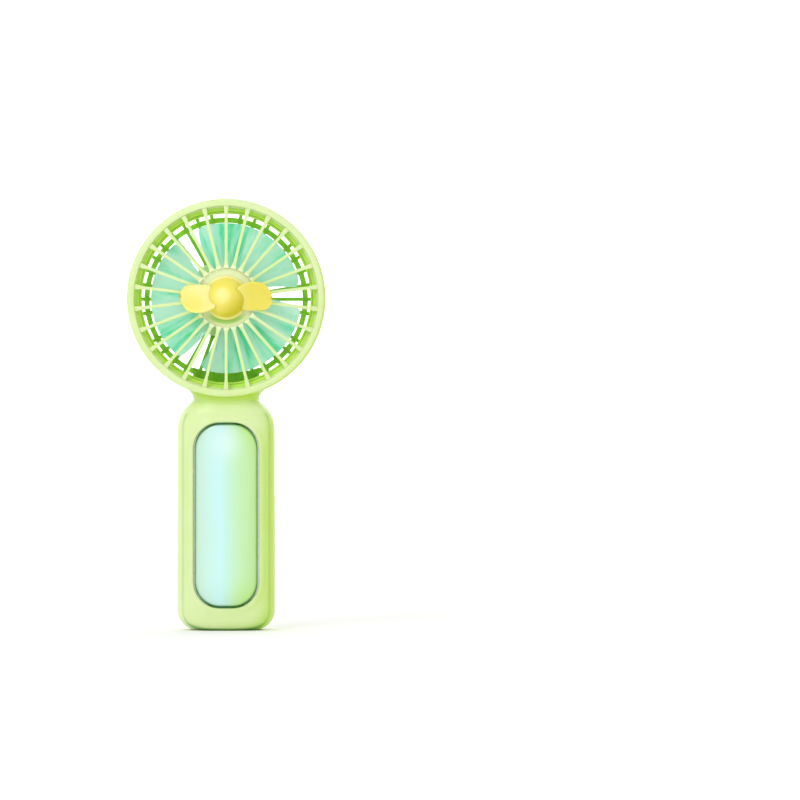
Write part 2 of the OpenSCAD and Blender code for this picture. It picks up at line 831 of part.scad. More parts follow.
module battery_cell() color([0.16, 0.42, 0.72]) translate([0, cell_y, cell_z]) {
    cylinder(r = cell_r, h = cell_l - 1);
    translate([0, 0, cell_l - 1 - eps]) cylinder(r = cell_r - 0.8, h = 0.6);
    translate([0, 0, cell_l - 1 - eps]) cylinder(r = 2.8, h = 1);
}

module battery_tabs() color(steel) for (z = [cell_z - tab_t - 0.02, cell_z + cell_l + 0.02])
    translate([-cell_r + 1, cell_y - 2.5, z]) cube([cell_r + 2, 5, tab_t]);

module main_board() color(board_green) difference() {
    translate([-board_w / 2, board_y, board_z]) cube([board_w, board_t, board_h]);
    for (side = [-1, 1]) translate([side * post_x, 5, post_z]) rotate([90, 0, 0])
        cylinder(r = small_screw_r + seat_gap, h = 20);
}

module board_components() color([0.13, 0.13, 0.14]) {
    front = board_y - 0.02;
    translate([-3, front - 1.5, board_z + 9]) cube([6, 1.5, 5]);
    translate([-10.5, front - 2.6, board_z + 1.5]) cube([5, 2.6, 5]);
    translate([6.5, front - 0.9, board_z + 8]) cube([3, 0.9, 1.6]);
    translate([6.5, front - 0.9, board_z + 3]) cube([3, 0.9, 1.6]);
}

module board_screws() color(steel) for (side = [-1, 1])
    translate([side * post_x, board_y, post_z]) rotate([90, 0, 0]) small_screw(5);

// Metal sleeve of the charging socket with its tongue
module charging_socket() color(steel) translate([0, socket_y - 0.02, socket_z]) {
    difference() {
        linear_extrude(socket_l) socket_outline(0);
        translate([0, 0, -1]) linear_extrude(socket_l) socket_outline(-0.3);
    }
    translate([-3.2, -0.35, 0.8]) cube([6.4, 0.7, socket_l - 1]);
}

// Direction of a route at one of its points
function route_step(route, i) = (route[i + 1] - route[i]) / norm(route[i + 1] - route[i]);
function route_way(route, i) = i == 0 ? route_step(route, 0)
    : i == len(route) - 1 ? route_step(route, i - 1)
    : (route_step(route, i - 1) + route_step(route, i)) / norm(route_step(route, i - 1) + route_step(route, i));

// Ring of points round a route, square to its direction
function route_ring(route, i) = let (way = route_way(route, i), flat = cross(way, [1, 0, 0]),
        side = flat / norm(flat), up = cross(way, side))
    [for (k = [0 : lead_sides - 1]) route[i]
        + lead_r * (side * cos(k * 360 / lead_sides) + up * sin(k * 360 / lead_sides))];

// Round wire through a list of points
module lead(route) {
    n = lead_sides;
    rings = len(route);
    polyhedron([for (i = [0 : rings - 1]) each route_ring(route, i)],
        [[for (k = [n - 1 : -1 : 0]) k], [for (k = [0 : n - 1]) (rings - 1) * n + k],
            for (i = [0 : rings - 2], k = [0 : n - 1])
                [i * n + k, i * n + (k + 1) % n, (i + 1) * n + (k + 1) % n, (i + 1) * n + k]]);
}

module motor_leads() color([0.80, 0.15, 0.12]) for (side = [0, 1]) {
    duct_x = 0.9 - side * 1.8;
    grip_x = lead_x - side * 1.8;
    bend_z = cell_z + cell_l + 4.5 - side * 2.5;
    lead([[duct_x, switch_board_y - lead_off, head_z - switch_board_r + 2],
        [duct_x, switch_board_y - 1.7, head_z - switch_board_r + 0.4],
        [duct_x, switch_board_y - 1.7, head_z - cup_r - 8],
        [duct_x, lead_hole_y, head_z - head_r + 4],
        [duct_x, lead_hole_y, bend_z + 7],
        [grip_x, lead_y, bend_z],
        [grip_x, lead_y, board_z + board_h + 3],
        [board_w / 2 - 1.5 - side * 1.8, board_y + board_t + lead_off, board_z + board_h - 0.7]]);
}

module battery_leads() color([0.1, 0.1, 0.1]) {
    lead([[-cell_r - lead_r, cell_y, cell_z + cell_l + 0.15],
        [-lead_x, cell_y, cell_z + cell_l - 3],
        [-lead_x, cell_y, cell_z + 3],
        [-board_w / 2 + 1.5, board_y + board_t + lead_off, board_z + board_h - 0.7]]);
    lead([[-4, cell_y, cell_z - tab_t - lead_r - 0.05],
        [-4, cell_y - 2, cell_z - tab_t - lead_r - 0.05],
        [-4, board_y + board_t + lead_off, board_z + board_h - 1.5]]);
}

module light_leads() color([0.9, 0.9, 0.9]) for (side = [-1, 1])
    lead([[side * 1.5, light_board_y + light_board_t + lead_off, win_z + 4],
        [side * 1.5, board_y - 2.2, board_z + board_h - 2],
        [side * 1.5, board_y - lead_off, board_z + board_h - 3]]);

front_shell();
front_grille();
rear_shell();
rear_cover();
power_button();
switch_body();
switch_plunger();
switch_board();
switch_screws();
indicator_light();
motor_can();
motor_end_cap();
motor_magnets();
motor_brushes();
motor_bushes();
motor_screws();
motor_shaft();
armature_core();
armature_windings();
commutator();
impeller();
propeller();
propeller_axle();
axle_clip();
light_panel();
light_board();
light_chips();
foam_pad();
battery_cell();
battery_tabs();
main_board();
board_components();
board_screws();
charging_socket();
motor_leads();
battery_leads();
light_leads();
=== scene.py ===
import json
from math import atan2, cos, exp, pi, radians, sin, sqrt

import bmesh
import bpy
from mathutils import Matrix, Vector


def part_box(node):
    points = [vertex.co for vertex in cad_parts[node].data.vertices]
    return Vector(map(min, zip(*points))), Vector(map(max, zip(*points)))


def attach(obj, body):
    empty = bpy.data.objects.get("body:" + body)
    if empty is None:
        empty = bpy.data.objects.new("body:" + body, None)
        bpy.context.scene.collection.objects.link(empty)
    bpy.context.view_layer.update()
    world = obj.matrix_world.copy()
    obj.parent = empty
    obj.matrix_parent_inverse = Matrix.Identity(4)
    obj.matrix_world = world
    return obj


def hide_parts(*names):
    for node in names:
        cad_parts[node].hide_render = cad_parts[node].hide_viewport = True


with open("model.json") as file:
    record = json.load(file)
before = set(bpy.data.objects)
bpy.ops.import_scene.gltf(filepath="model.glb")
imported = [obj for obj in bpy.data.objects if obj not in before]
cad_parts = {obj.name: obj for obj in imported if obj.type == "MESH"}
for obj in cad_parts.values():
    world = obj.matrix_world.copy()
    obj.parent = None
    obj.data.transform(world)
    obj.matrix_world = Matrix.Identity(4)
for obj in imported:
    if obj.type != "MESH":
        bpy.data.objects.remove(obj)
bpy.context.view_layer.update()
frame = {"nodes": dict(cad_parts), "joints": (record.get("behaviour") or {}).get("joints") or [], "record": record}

mm = 0.001
nodes = frame["nodes"]
headZ = frame["joints"][0]["pos_m"][2]
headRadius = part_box("front_shell")[1].x
headCentre = Vector((0, 0, headZ))


# Meshes

def link(name, mesh):
    piece = bpy.data.objects.new(name, mesh)
    bpy.context.scene.collection.objects.link(piece)
    return piece


# The mesh of an object with its modifiers applied; the object itself goes
def applied(source):
    done = source.evaluated_get(bpy.context.evaluated_depsgraph_get())
    result = bpy.data.meshes.new_from_object(done)
    bpy.data.objects.remove(source)
    return result


def cleanMesh(mesh, smoothAngle=35):
    bm = bmesh.new()
    bm.from_mesh(mesh)
    bmesh.ops.delete(bm, geom=[v for v in bm.verts if not v.link_faces], context="VERTS")
    bmesh.ops.remove_doubles(bm, verts=bm.verts, dist=1e-6)
    bmesh.ops.dissolve_degenerate(bm, edges=bm.edges, dist=1e-7)
    bmesh.ops.recalc_face_normals(bm, faces=bm.faces)
    bm.to_mesh(mesh)
    bm.free()
    mesh.shade_smooth()
    mesh.set_sharp_from_angle(angle=radians(smoothAngle))
    return mesh


def meshFrom(name, points, faces, smoothAngle=35):
    mesh = bpy.data.meshes.new(name)
    mesh.from_pydata([tuple(p) for p in points], [], faces)
    return cleanMesh(mesh, smoothAngle=smoothAngle)


def gridFaces(rows, columns, closed=False):
    faces = []
    for i in range(rows - 1):
        for j in range(columns if closed else columns - 1):
            k = (j + 1) % columns
            faces.append((i * columns + j, i * columns + k, (i + 1) * columns + k, (i + 1) * columns + j))
    return faces


def joined(name, meshes):
    bm = bmesh.new()
    for mesh in meshes:
        bm.from_mesh(mesh)
    mesh = bpy.data.meshes.new(name)
    bm.to_mesh(mesh)
    bm.free()
    mesh.shade_smooth()
    mesh.set_sharp_from_angle(angle=radians(35))
    return mesh


# A closed outline with each corner rounded: corners are (x, y, radius)
def roundCorners(corners, steps=5):
    outline = []
    for i, (x, y, radius) in enumerate(corners):
        here = Vector((x, y))
        before = Vector(corners[i - 1][:2]) - here
        after = Vector(corners[(i + 1) % len(corners)][:2]) - here
        if radius == 0:
            outline.append((x, y))
            continue
        before.normalize()
        after.normalize()
        half = before.angle(after) / 2
        reach = radius / max(sin(half) / cos(half), 1e-6) if half < 1.55 else 0
        start, end = here + before * reach, here + after * reach
        for k in range(steps + 1):
            t = k / steps
            outline.append(tuple((1 - t) ** 2 * start + 2 * t * (1 - t) * here + t * t * end))
    return outline


# Turns an outline of (radius, depth) about the head's axis
def turned(name, outline, segments=208, smoothAngle=35):
    points, rows = [], len(outline)
    for radius, depth in outline:
        for k in range(segments):
            turn = 2 * pi * k / segments
            points.append((radius * sin(turn), depth, headZ + radius * cos(turn)))
    faces = gridFaces(rows, segments, closed=True)
    last = (rows - 1) * segments
    faces += [(last + k, last + (k + 1) % segments, (k + 1) % segments, k) for k in range(segments)]
    return meshFrom(name, points, faces, smoothAngle)


# A bar along a path of (radius, depth), with a width and a rounded section
def bar(name, path, width, thickness, rounding=0.35 * mm):
    points, ring = [], 0
    for i, (radius, depth) in enumerate(path):
        before, after = path[max(i - 1, 0)], path[min(i + 1, len(path) - 1)]
        along = Vector((after[0] - before[0], after[1] - before[1])).normalized()
        inward = Vector((along.y, -along.x))
        w = width(radius, i) / 2
        r = min(rounding, w * 0.9)
        low = r * 0.6
        section = roundCorners([(-w, 0, r), (w, 0, r), (w, thickness, low), (-w, thickness, low)], 3)
        ring = len(section)
        for across, down in section:
            spot = Vector((radius, depth)) + inward * down
            points.append((across, spot.y, spot.x))
    faces = gridFaces(len(path), ring, closed=True)
    faces.append(tuple(range(ring)))
    faces.append(tuple((len(path) - 1) * ring + k for k in range(ring)))
    return meshFrom(name, points, faces)


# Copies round the head's axis

def addSocket(tree, name, kind, value=None, direction="INPUT"):
    item = tree.interface.new_socket(name=name, in_out=direction, socket_type=kind)
    if value is not None:
        item.default_value = value
    return item.identifier


def copiesTree():
    tree = bpy.data.node_groups.new("copiesRoundAxis", "GeometryNodeTree")
    addSocket(tree, "Piece", "NodeSocketGeometry")
    names = {"Count": ("NodeSocketInt", 12), "First angle": ("NodeSocketFloat", 0.0),
             "Step": ("NodeSocketFloat", 0.5), "Height": ("NodeSocketFloat", 0.1)}
    keys = {name: addSocket(tree, name, kind, value) for name, (kind, value) in names.items()}
    keys["Material"] = addSocket(tree, "Material", "NodeSocketMaterial")
    addSocket(tree, "Copies", "NodeSocketGeometry", direction="OUTPUT")

    def add(kind, **settings):
        node = tree.nodes.new(kind)
        for key, value in settings.items():
            setattr(node, key, value)
        return node

    given, result = add("NodeGroupInput"), add("NodeGroupOutput")
    spots, index = add("GeometryNodePoints"), add("GeometryNodeInputIndex")
    turn = add("ShaderNodeMath", operation="MULTIPLY_ADD")
    rotation, place = add("ShaderNodeCombineXYZ"), add("ShaderNodeCombineXYZ")
    copies, realize = add("GeometryNodeInstanceOnPoints"), add("GeometryNodeRealizeInstances")
    move, paint = add("GeometryNodeTransform"), add("GeometryNodeSetMaterial")
    for source, output, target, entry in [
            (given, "Count", spots, "Count"), (index, "Index", turn, 0), (given, "Step", turn, 1),
            (given, "First angle", turn, 2), (turn, 0, rotation, "Y"), (given, "Height", place, "Z"),
            (spots, "Points", copies, "Points"), (given, "Piece", copies, "Instance"),
            (rotation, "Vector", copies, "Rotation"), (copies, "Instances", realize, "Geometry"),
            (realize, "Geometry", move, "Geometry"), (place, "Vector", move, "Translation"),
            (move, "Geometry", paint, "Geometry"), (given, "Material", paint, "Material"),
            (paint, "Geometry", result, "Copies")]:
        tree.links.new(source.outputs[output], target.inputs[entry])
    return tree, keys


copier, copierKeys = copiesTree()


# The piece is drawn round the origin, pointing up, and its copies go round the head
def roundHead(name, mesh, count, firstAngle, step, material):
    source = link(name, mesh)
    modifier = source.modifiers.new("copies", "NODES")
    modifier.node_group = copier
    for key, value in {"Count": count, "First angle": firstAngle, "Step": step,
                       "Height": headZ, "Material": material}.items():
        modifier[copierKeys[key]] = value
    return applied(source)


# Finishes

# A number socket that can be used in sums
class Number:
    def __init__(self, finish, socket):
        self.finish, self.socket = finish, socket

    def maths(self, operation, other=None, swap=False):
        first, second = (other, self) if swap else (self, other)
        entries = {0: first} if other is None else {0: first, 1: second}
        return self.finish.add("ShaderNodeMath", {"operation": operation}, entries)

    def __add__(self, other):
        return self.maths("ADD", other)

    def __sub__(self, other):
        return self.maths("SUBTRACT", other)

    def __rsub__(self, other):
        return self.maths("SUBTRACT", other, True)

    def __mul__(self, other):
        return self.maths("MULTIPLY", other)

    def __truediv__(self, other):
        return self.maths("DIVIDE", other)

    def __pow__(self, other):
        return self.maths("POWER", other)

    __radd__, __rmul__ = __add__, __mul__


class Finish:
    def __init__(self, name, **constants):
        self.material = bpy.data.materials.new(name)
        self.material.use_nodes = True
        self.tree = self.material.node_tree
        self.shader = self.tree.nodes["Principled BSDF"]
        for key, value in constants.items():
            self.shader.inputs[key.replace("_", " ")].default_value = value
        self.place = self.add("ShaderNodeTexCoord", output="Object")

    def add(self, kind, settings=None, entries=None, output=0):
        node = self.tree.nodes.new(kind)
        for key, value in (settings or {}).items():
            if key == "stops":
                ramp = node.color_ramp
                while len(ramp.elements) < len(value):
                    ramp.elements.new(0.5)
                for element, (spot, colour) in zip(ramp.elements, value):
                    element.position, element.color = spot, (*colour, 1)
            else:
                setattr(node, key, value)
        for key, value in (entries or {}).items():
            if isinstance(value, Number):
                self.tree.links.new(value.socket, node.inputs[key])
            else:
                node.inputs[key].default_value = value
        return Number(self, node.outputs[output])

    def feed(self, entry, value):
        self.tree.links.new(value.socket, self.shader.inputs[entry])

    def moved(self, centre=(0, 0, 0), scale=(1, 1, 1)):
        shift = tuple(-c * s for c, s in zip(centre, scale))
        return self.add("ShaderNodeMapping", {}, {"Vector": self.place, "Location": shift, "Scale": scale})

    def noise(self, scale, detail=2.0, vector=None, roughness=0.5):
        return self.add("ShaderNodeTexNoise", {}, {"Vector": vector or self.place, "Scale": scale,
                        "Detail": detail, "Roughness": roughness}, "Fac")

    def spread(self, value, low, high, newLow=0.0, newHigh=1.0):
        return self.add("ShaderNodeMapRange", {"interpolation_type": "SMOOTHSTEP"},
                        {"Value": value, "From Min": low, "From Max": high,
                         "To Min": newLow, "To Max": newHigh})

    def mix(self, factor, first, second):
        first = first if isinstance(first, Number) else (*first, 1)
        second = second if isinstance(second, Number) else (*second, 1)
        node = self.tree.nodes.new("ShaderNodeMix")
        node.data_type = "RGBA"
        for key, value in ((0, factor), (6, first), (7, second)):
            if isinstance(value, Number):
                self.tree.links.new(value.socket, node.inputs[key])
            else:
                node.inputs[key].default_value = value
        return Number(self, node.outputs[2])

    def parts(self, vector):
        node = self.tree.nodes.new("ShaderNodeSeparateXYZ")
        self.tree.links.new(vector.socket, node.inputs[0])
        return [Number(self, out) for out in node.outputs]

    def bump(self, height, distance, strength=1.0):
        self.feed("Normal", self.add("ShaderNodeBump", {}, {"Height": height, "Distance": distance,
                                                          "Strength": strength}, "Normal"))

    # How open a place is, from 0 in a corner to 1; alone leaves the other pieces out
    def corners(self, distance, alone=True):
        return self.add("ShaderNodeAmbientOcclusion", {"samples": 8, "only_local": alone},
                        {"Distance": distance}, "AO")

    # How far a surface turns towards a direction, from -1 to 1
    def towards(self, direction):
        parts = self.parts(self.add("ShaderNodeTexCoord", output="Normal"))
        return sum((part * weight for part, weight in zip(parts, direction)), 0.0)


# sRGB hex to linear colour
def shade(hexCode):
    parts = [int(hexCode[i:i + 2], 16) / 255 for i in (0, 2, 4)]
    return tuple(p / 12.92 if p <= 0.04045 else ((p + 0.055) / 1.055) ** 2.4 for p in parts)


# Lime tones: the first two are the plastic's own, mixed at random; the hub's is a painted paler lit tone, and the
# others are painted shade; last come the grooves' radii
limeLook = {"lit": "dbecb0", "soft": "d1e898", "crease": "b4e02c", "deep": "8ecb16", "cage": "a2e02e",
            "low": "b9df3a", "groove": "8fc935", "shaded": "c2e44a", "hub": "edf8c8", "slope": "cdf452",
            "wall": "4f9e1c", "grooveRadii": (41.6 * mm, 40.0 * mm)}


# Place seen from the middle of the head, and the distance from the head's axis
def fromAxis(f):
    x, y, z = f.parts(f.moved(headCentre))
    return x, y, z, (x * x + z * z) ** 0.5


# Painted shade in the crease where the neck meets the head, a deeper lime tone
def neckCreaseShade(f, colour):
    _, _, z, reach = fromAxis(f)
    crease = f.spread(reach, 51 * mm, 46.4 * mm) * f.spread(reach, 45.3 * mm, 46 * mm)
    crease = crease * f.spread(z, -43 * mm, -44 * mm)
    return f.mix(crease * 0.8, colour, shade(limeLook["crease"]))


# Painted shade: surfaces that look forward inside the cage take a deep green tone
def cageInsideShade(f, colour):
    _, y, _, reach = fromAxis(f)
    forward = f.spread(f.towards((0, -1, 0)), 0.1, 0.5) * f.spread(reach, 44.5 * mm, 43 * mm)
    return f.mix(forward * f.spread(y, 2 * mm, 4 * mm), colour, shade(limeLook["cage"]))


# Painted light and shade on the grille: shade near other pieces, a saturated shaded tone on the sloping ring, dark
# lines along its grooves, a paler lit tone on its hub and the propeller's shadow under it
def grilleLightAndShade(f, colour):
    _, y, z, reach = fromAxis(f)
    # Painted shadow: dark lines along the grooves of the sloping ring
    lines = 0.0
    for radius in limeLook["grooveRadii"]:
        gap = f.add("ShaderNodeMath", {"operation": "ABSOLUTE"}, {0: reach - radius})
        lines = f.spread(gap, 0.28 * mm, 0.1 * mm) + lines
    # Painted shade: a saturated shaded tone on the sloping ring
    slope = f.spread(reach, 38.6 * mm, 38.9 * mm) * f.spread(reach, 43 * mm, 42.4 * mm)
    slope = slope * f.spread(y, -14.6 * mm, -14.3 * mm)
    shaded = f.spread(f.corners(9 * mm, False), 0.85, 0.45)
    colour = f.mix(shaded * 0.35, colour, shade(limeLook["shaded"]))
    colour = f.mix(slope * 0.9, colour, shade(limeLook["slope"]))
    # Painted light: a paler lit tone on the hub
    hub = f.spread(reach, 15.4 * mm, 14.7 * mm)
    colour = f.mix(hub * 0.9, colour, shade(limeLook["hub"]))
    under = hub * f.spread(z, -6 * mm, -10 * mm) * f.spread(reach, 13.2 * mm, 11.2 * mm)
    colour = f.mix(under * 0.8, colour, shade(limeLook["deep"]))
    return f.mix(lines * f.spread(y, -13.9 * mm, -13.6 * mm), colour, shade(limeLook["groove"]))


# Painted shade: the window's inner wall takes a deep green tone
def windowWallShade(f, colour):
    _, y, z = f.parts(f.place)
    side = f.spread(f.towards((0, -1, 0)), 0.8, 0.4) * f.spread(y, -9 * mm, -9.6 * mm)
    return f.mix(side * f.spread(z, 101 * mm, 100 * mm), colour, shade(limeLook["wall"]))


def limePlastic(name, grain=1.0, hollow=7 * mm, detail=None):
    f = Finish(name, IOR=1.48, Coat_Weight=0.15, Coat_Roughness=0.2, Subsurface_Weight=0.22,
               Subsurface_Scale=3 * mm, Subsurface_Radius=(0.5, 1.0, 0.12))
    cloud = f.spread(f.noise(45, 2), 0.3, 0.7)
    body = f.mix(cloud * 0.55, shade(limeLook["lit"]), shade(limeLook["soft"]))
    # Painted shade: the deep tone darkens corners and hollows
    colour = f.mix(f.spread(f.corners(hollow), 0.1, 0.6), shade(limeLook["deep"]), body)
    # Painted shade: surfaces turned right and down take the darker low tone
    low = f.spread(f.towards((0.8, 0, -0.35)), 0.12, 0.75)
    colour = neckCreaseShade(f, f.mix(low * 0.85, colour, shade(limeLook["low"])))
    if detail:
        colour = detail(f, colour)
    f.feed("Base Color", colour)
    fine = f.noise(2600, 3)
    f.feed("Roughness", 0.3 + 0.12 * f.noise(160, 3) + 0.05 * fine)
    f.bump(fine, 0.02 * mm * grain, 0.35)
    return f.material


# Blade tones, lit to shaded, for painted shadow streaks over the mint plastic
bladeLook = {"light": "ccfff2", "mint": "a6f6de", "teal": "5fe2b8"}


def mintPlastic():
    f = Finish("mintBlade", IOR=1.5, Coat_Weight=0.5, Coat_Roughness=0.08,
               Subsurface_Weight=0.4, Subsurface_Scale=3 * mm, Subsurface_Radius=(0.4, 1.0, 0.85))
    x, y, z, reach = fromAxis(f)
    turn = f.add("ShaderNodeMath", {"operation": "ARCTAN2"}, {0: x, 1: z})
    # painted shadow streaks cast by the grille run outwards along the blade
    outwards = f.add("ShaderNodeCombineXYZ", {}, {"X": turn * 3.0, "Y": reach * 22.0, "Z": y * 40.0})
    shadowStreak = f.noise(1.6, 3, outwards, 0.55)
    f.feed("Base Color", f.add("ShaderNodeValToRGB", {"stops": [
        (0.35, shade(bladeLook["teal"])), (0.45, shade(bladeLook["mint"])),
        (0.56, shade(bladeLook["light"]))]}, {"Fac": shadowStreak}, "Color"))
    f.feed("Roughness", 0.14 + 0.2 * f.noise(300, 2))
    f.bump(f.noise(500, 2), 0.03 * mm, 0.3)
    return f.material


# Butter tones: the first two are the plastic's own, mixed at random, and the first is also the ball's painted
# highlight; the others are painted shade
butterLook = {"light": "faf0a0", "body": "f2e672", "deep": "d2c410", "ball": "efdf4c",
              "right": "e9da4c"}


def butterPlastic(name, ball):
    f = Finish(name, IOR=1.46, Subsurface_Weight=0.2,
               Subsurface_Scale=3 * mm, Subsurface_Radius=(1.0, 0.8, 0.1))
    cloud = f.spread(f.noise(70, 2), 0.3, 0.7)
    body = f.mix(cloud, shade(butterLook["light"]), shade(butterLook["body"]))
    x, y, _ = f.parts(f.place)
    # Painted shade: the deep tone darkens corners and hollows
    colour = f.mix(f.spread(f.corners(7 * mm), 0.35, 0.95), shade(butterLook["deep"]), body)
    if ball:
        # Painted shade: the ball's front takes a darker golden tone
        front = f.spread(y, -20.3 * mm, -20.8 * mm)
        colour = f.mix(front * 0.75, colour, shade(butterLook["ball"]))
        # Painted shade on the ball's lower right
        low = f.spread(f.towards((0.62, 0, -0.62)), -0.15, 0.85)
        colour = f.mix(low * front, colour, shade(butterLook["deep"]))
        # Painted highlight on the ball's upper left
        top = f.spread(f.towards((-0.2, -0.96, 0.12)), 0.84, 1.0)
        colour = f.mix(top * 0.7, colour, shade(butterLook["light"]))
    else:
        # Painted shade: the right-hand paddle is darker and more saturated
        colour = f.mix(f.spread(x, 2 * mm, 12 * mm) * 0.9, colour, shade(butterLook["right"]))
    f.feed("Base Color", colour)
    fine = f.noise(2400, 3)
    f.feed("Roughness", 0.3 + 0.14 * f.noise(220, 2))
    f.bump(fine, 0.02 * mm, 0.3)
    return f.material


# Panel tones: the panel's own pale and cyan, then greens for a painted reflection of the lime shell, a deep green
# for painted shade in the gap and a pale tone for a painted highlight
panelLook = {"pale": "c9ead0", "cyan": "c8f3f2", "leaf": "c6efbe", "green": "bde68e", "lime": "bdec7a",
             "gap": "4aa52a", "glow": "e0fbf3"}


def mintPanelPlastic(centre, halfWidth, halfHeight):
    f = Finish("mintPanel", IOR=1.5, Coat_Weight=0.6, Coat_Roughness=0.05,
               Subsurface_Weight=0.3, Subsurface_Scale=4 * mm, Subsurface_Radius=(0.5, 1.0, 0.8))
    x, _, z = f.parts(f.moved(centre, (1 / halfWidth, 1, 1 / halfHeight)))
    cloud = f.noise(30, 2) * 0.12
    # The panel's own pale and cyan, greened towards the right by a painted reflection of the lime shell
    across = f.add("ShaderNodeValToRGB", {"stops": [
        (0.0, shade(panelLook["pale"])), (0.4, shade(panelLook["cyan"])), (0.66, shade(panelLook["leaf"])),
        (1.0, shade(panelLook["green"]))]}, {"Fac": x * 0.5 + 0.44 + cloud}, "Color")
    # Painted reflection of the lime shell at the right of the top and bottom ends
    ends = f.spread(z * z, 0.35, 0.95) * f.spread(x, -0.1, 0.7)
    front = f.mix(ends * 0.8, across, shade(panelLook["lime"]))
    # Painted highlight near the top of the panel
    glow = f.spread((x * x + (z - 0.8) * (z - 0.8) * 6.0) ** 0.5, 0.75, 0.0)
    front = f.mix(glow * 0.6, front, shade(panelLook["glow"]))
    # Painted shade: the gap round the panel takes a deep green tone
    clear = f.spread(f.corners(2 * mm, False), 0.3, 0.7)
    f.feed("Base Color", f.mix(clear, shade(panelLook["gap"]), front))
    f.feed("Roughness", 0.1 + 0.08 * f.noise(120, 2))
    return f.material


def plainFinish(name, light, dark, roughness, scale, metallic):
    f = Finish(name, Metallic=metallic)
    grain = f.noise(scale, 3)
    f.feed("Base Color", f.mix(f.spread(grain, 0.3, 0.7), shade(dark), shade(light)))
    f.feed("Roughness", roughness - 0.08 + 0.16 * grain)
    f.bump(grain, 0.03 * mm, 0.3)
    return f.material


limeFront = limePlastic("limeFront", detail=windowWallShade)
limeFine = limePlastic("limeRib", 0.6, 2 * mm, grilleLightAndShade)
limeCage = limePlastic("limeCage", 0.8, detail=cageInsideShade)
limeCover = limePlastic("limeCover", 0.8, 3 * mm)
mint = mintPlastic()
butter = [butterPlastic("butterBall", True), butterPlastic("butterBlade", False)]
print("finishes made")


# Handle and neck

grip = {"halfWidth": 22.7 * mm, "halfDepth": 14.5 * mm, "height": 109 * mm, "shoulder": 16 * mm,
        "base": 9.5 * mm, "shoulderSide": 10 * mm, "baseSide": 4.5 * mm, "neckWidth": 15.3 * mm,
        "neckDepth": 12.3 * mm, "roundness": 2.9, "wall": 1.8 * mm, "flare": 3.4 * mm, "columns": 40,
        "shoulderRise": 8.5 * mm, "footHigh": 108.2 * mm, "sink": 0.15 * mm}
window = {"lip": 3.6 * mm, "raise": 0.5 * mm, "edge": 0.8 * mm, "depth": 3.0 * mm, "overlap": 1.2 * mm,
          "radius": 12.3 * mm}
cage = {"corner": 12 * mm, "back": 18.5 * mm, "thickness": 2.6 * mm}

panelLow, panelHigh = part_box("light_panel")
windowHalfWidth = panelHigh.x - window["overlap"]
windowHalfHeight = (panelHigh.z - panelLow.z) / 2 - window["overlap"]
windowCentre = (panelHigh.z + panelLow.z) / 2


def roundedEnd(full, radius, into):
    into = min(max(into, 0), radius)
    return full - radius + sqrt(max(radius ** 2 - into ** 2, 0))


def softMax(a, b, k=1.6 * mm):
    h = max(k - abs(a - b), 0) / k
    return max(a, b) + h * h * k / 4


def gripSize(z, full, base, shoulder, neck):
    if z < base:
        return roundedEnd(full, base, base - z)
    return softMax(roundedEnd(full, shoulder, z - (grip["height"] - shoulder)), neck)


def halfWidthAt(z):
    return gripSize(z, grip["halfWidth"], grip["base"], grip["shoulder"], grip["neckWidth"])


def halfDepthAt(z):
    return gripSize(z, grip["halfDepth"], grip["baseSide"], grip["shoulderSide"], grip["neckDepth"])


# Radius of the head's outer surface at a depth
def headSurface(y):
    into = y - (cage["back"] - cage["corner"])
    if into <= 0:
        return headRadius
    return headRadius - cage["corner"] + sqrt(max(cage["corner"] ** 2 - into ** 2, 0))


# Depth of the handle's surface at a place seen from the front
def gripDepth(x, z):
    n = grip["roundness"]
    return halfDepthAt(z) * max(1 - min(abs(x) / halfWidthAt(z), 1) ** n, 0) ** (1 / n)


def headFloor(x, y):
    return headZ - sqrt(max(headSurface(y) ** 2 - x * x, 0))


# Height at which the neck starts to flare into the head; side -1 is the front, 1 the back
def gripFoot(side, v):
    n = grip["roundness"]
    fx = abs(sin(v * pi / 2)) ** (2 / n)
    fy = max(cos(v * pi / 2), 0) ** (2 / n)
    foot = grip["height"] - 4 * mm
    for _ in range(4):
        foot = headFloor(halfWidthAt(foot) * fx, side * halfDepthAt(foot) * fy) - grip["flare"]
    return min(foot, grip["footHigh"])


# A place on the skin at v from -1 to 1 across; with a rise, on the flare from 0 to 1
def gripPoint(side, v, z, spread=0.0, rise=None):
    n = grip["roundness"]
    fx = abs(sin(v * pi / 2)) ** (2 / n) * (1 if v > 0 else -1)
    fy = max(cos(v * pi / 2), 0) ** (2 / n)
    flareY = grip["flare"] * (0.6 if side < 0 else 0.25)
    if rise is None:
        return Vector((halfWidthAt(z) * fx, side * halfDepthAt(z) * fy, z))
    foot = gripFoot(side, v)
    x = (halfWidthAt(foot) + grip["flare"] * spread) * fx
    y = side * (halfDepthAt(foot) + flareY * spread) * fy
    top = headFloor(x, y) + grip["sink"]
    return Vector((x, y, foot + (top - foot) * rise))


def gripRows():
    low, high = grip["base"], grip["height"] - grip["shoulder"]
    base = [low - low * cos(pi / 2 * k / 8) for k in range(9)]
    straight = [low + (high - low) * k / 30 for k in range(1, 31)]
    shoulder = [high + grip["shoulderRise"] * k / 8 for k in range(1, 9)]
    return base + straight + shoulder


# Turns a skin's faces away from a place inside it
def facingOut(mesh, middle):
    bm = bmesh.new()
    bm.from_mesh(mesh)
    facing = sum((f.calc_center_median() - middle).dot(f.normal) * f.calc_area() for f in bm.faces)
    if facing < 0:
        bmesh.ops.reverse_faces(bm, faces=bm.faces)
    bm.to_mesh(mesh)
    bm.free()
    return mesh


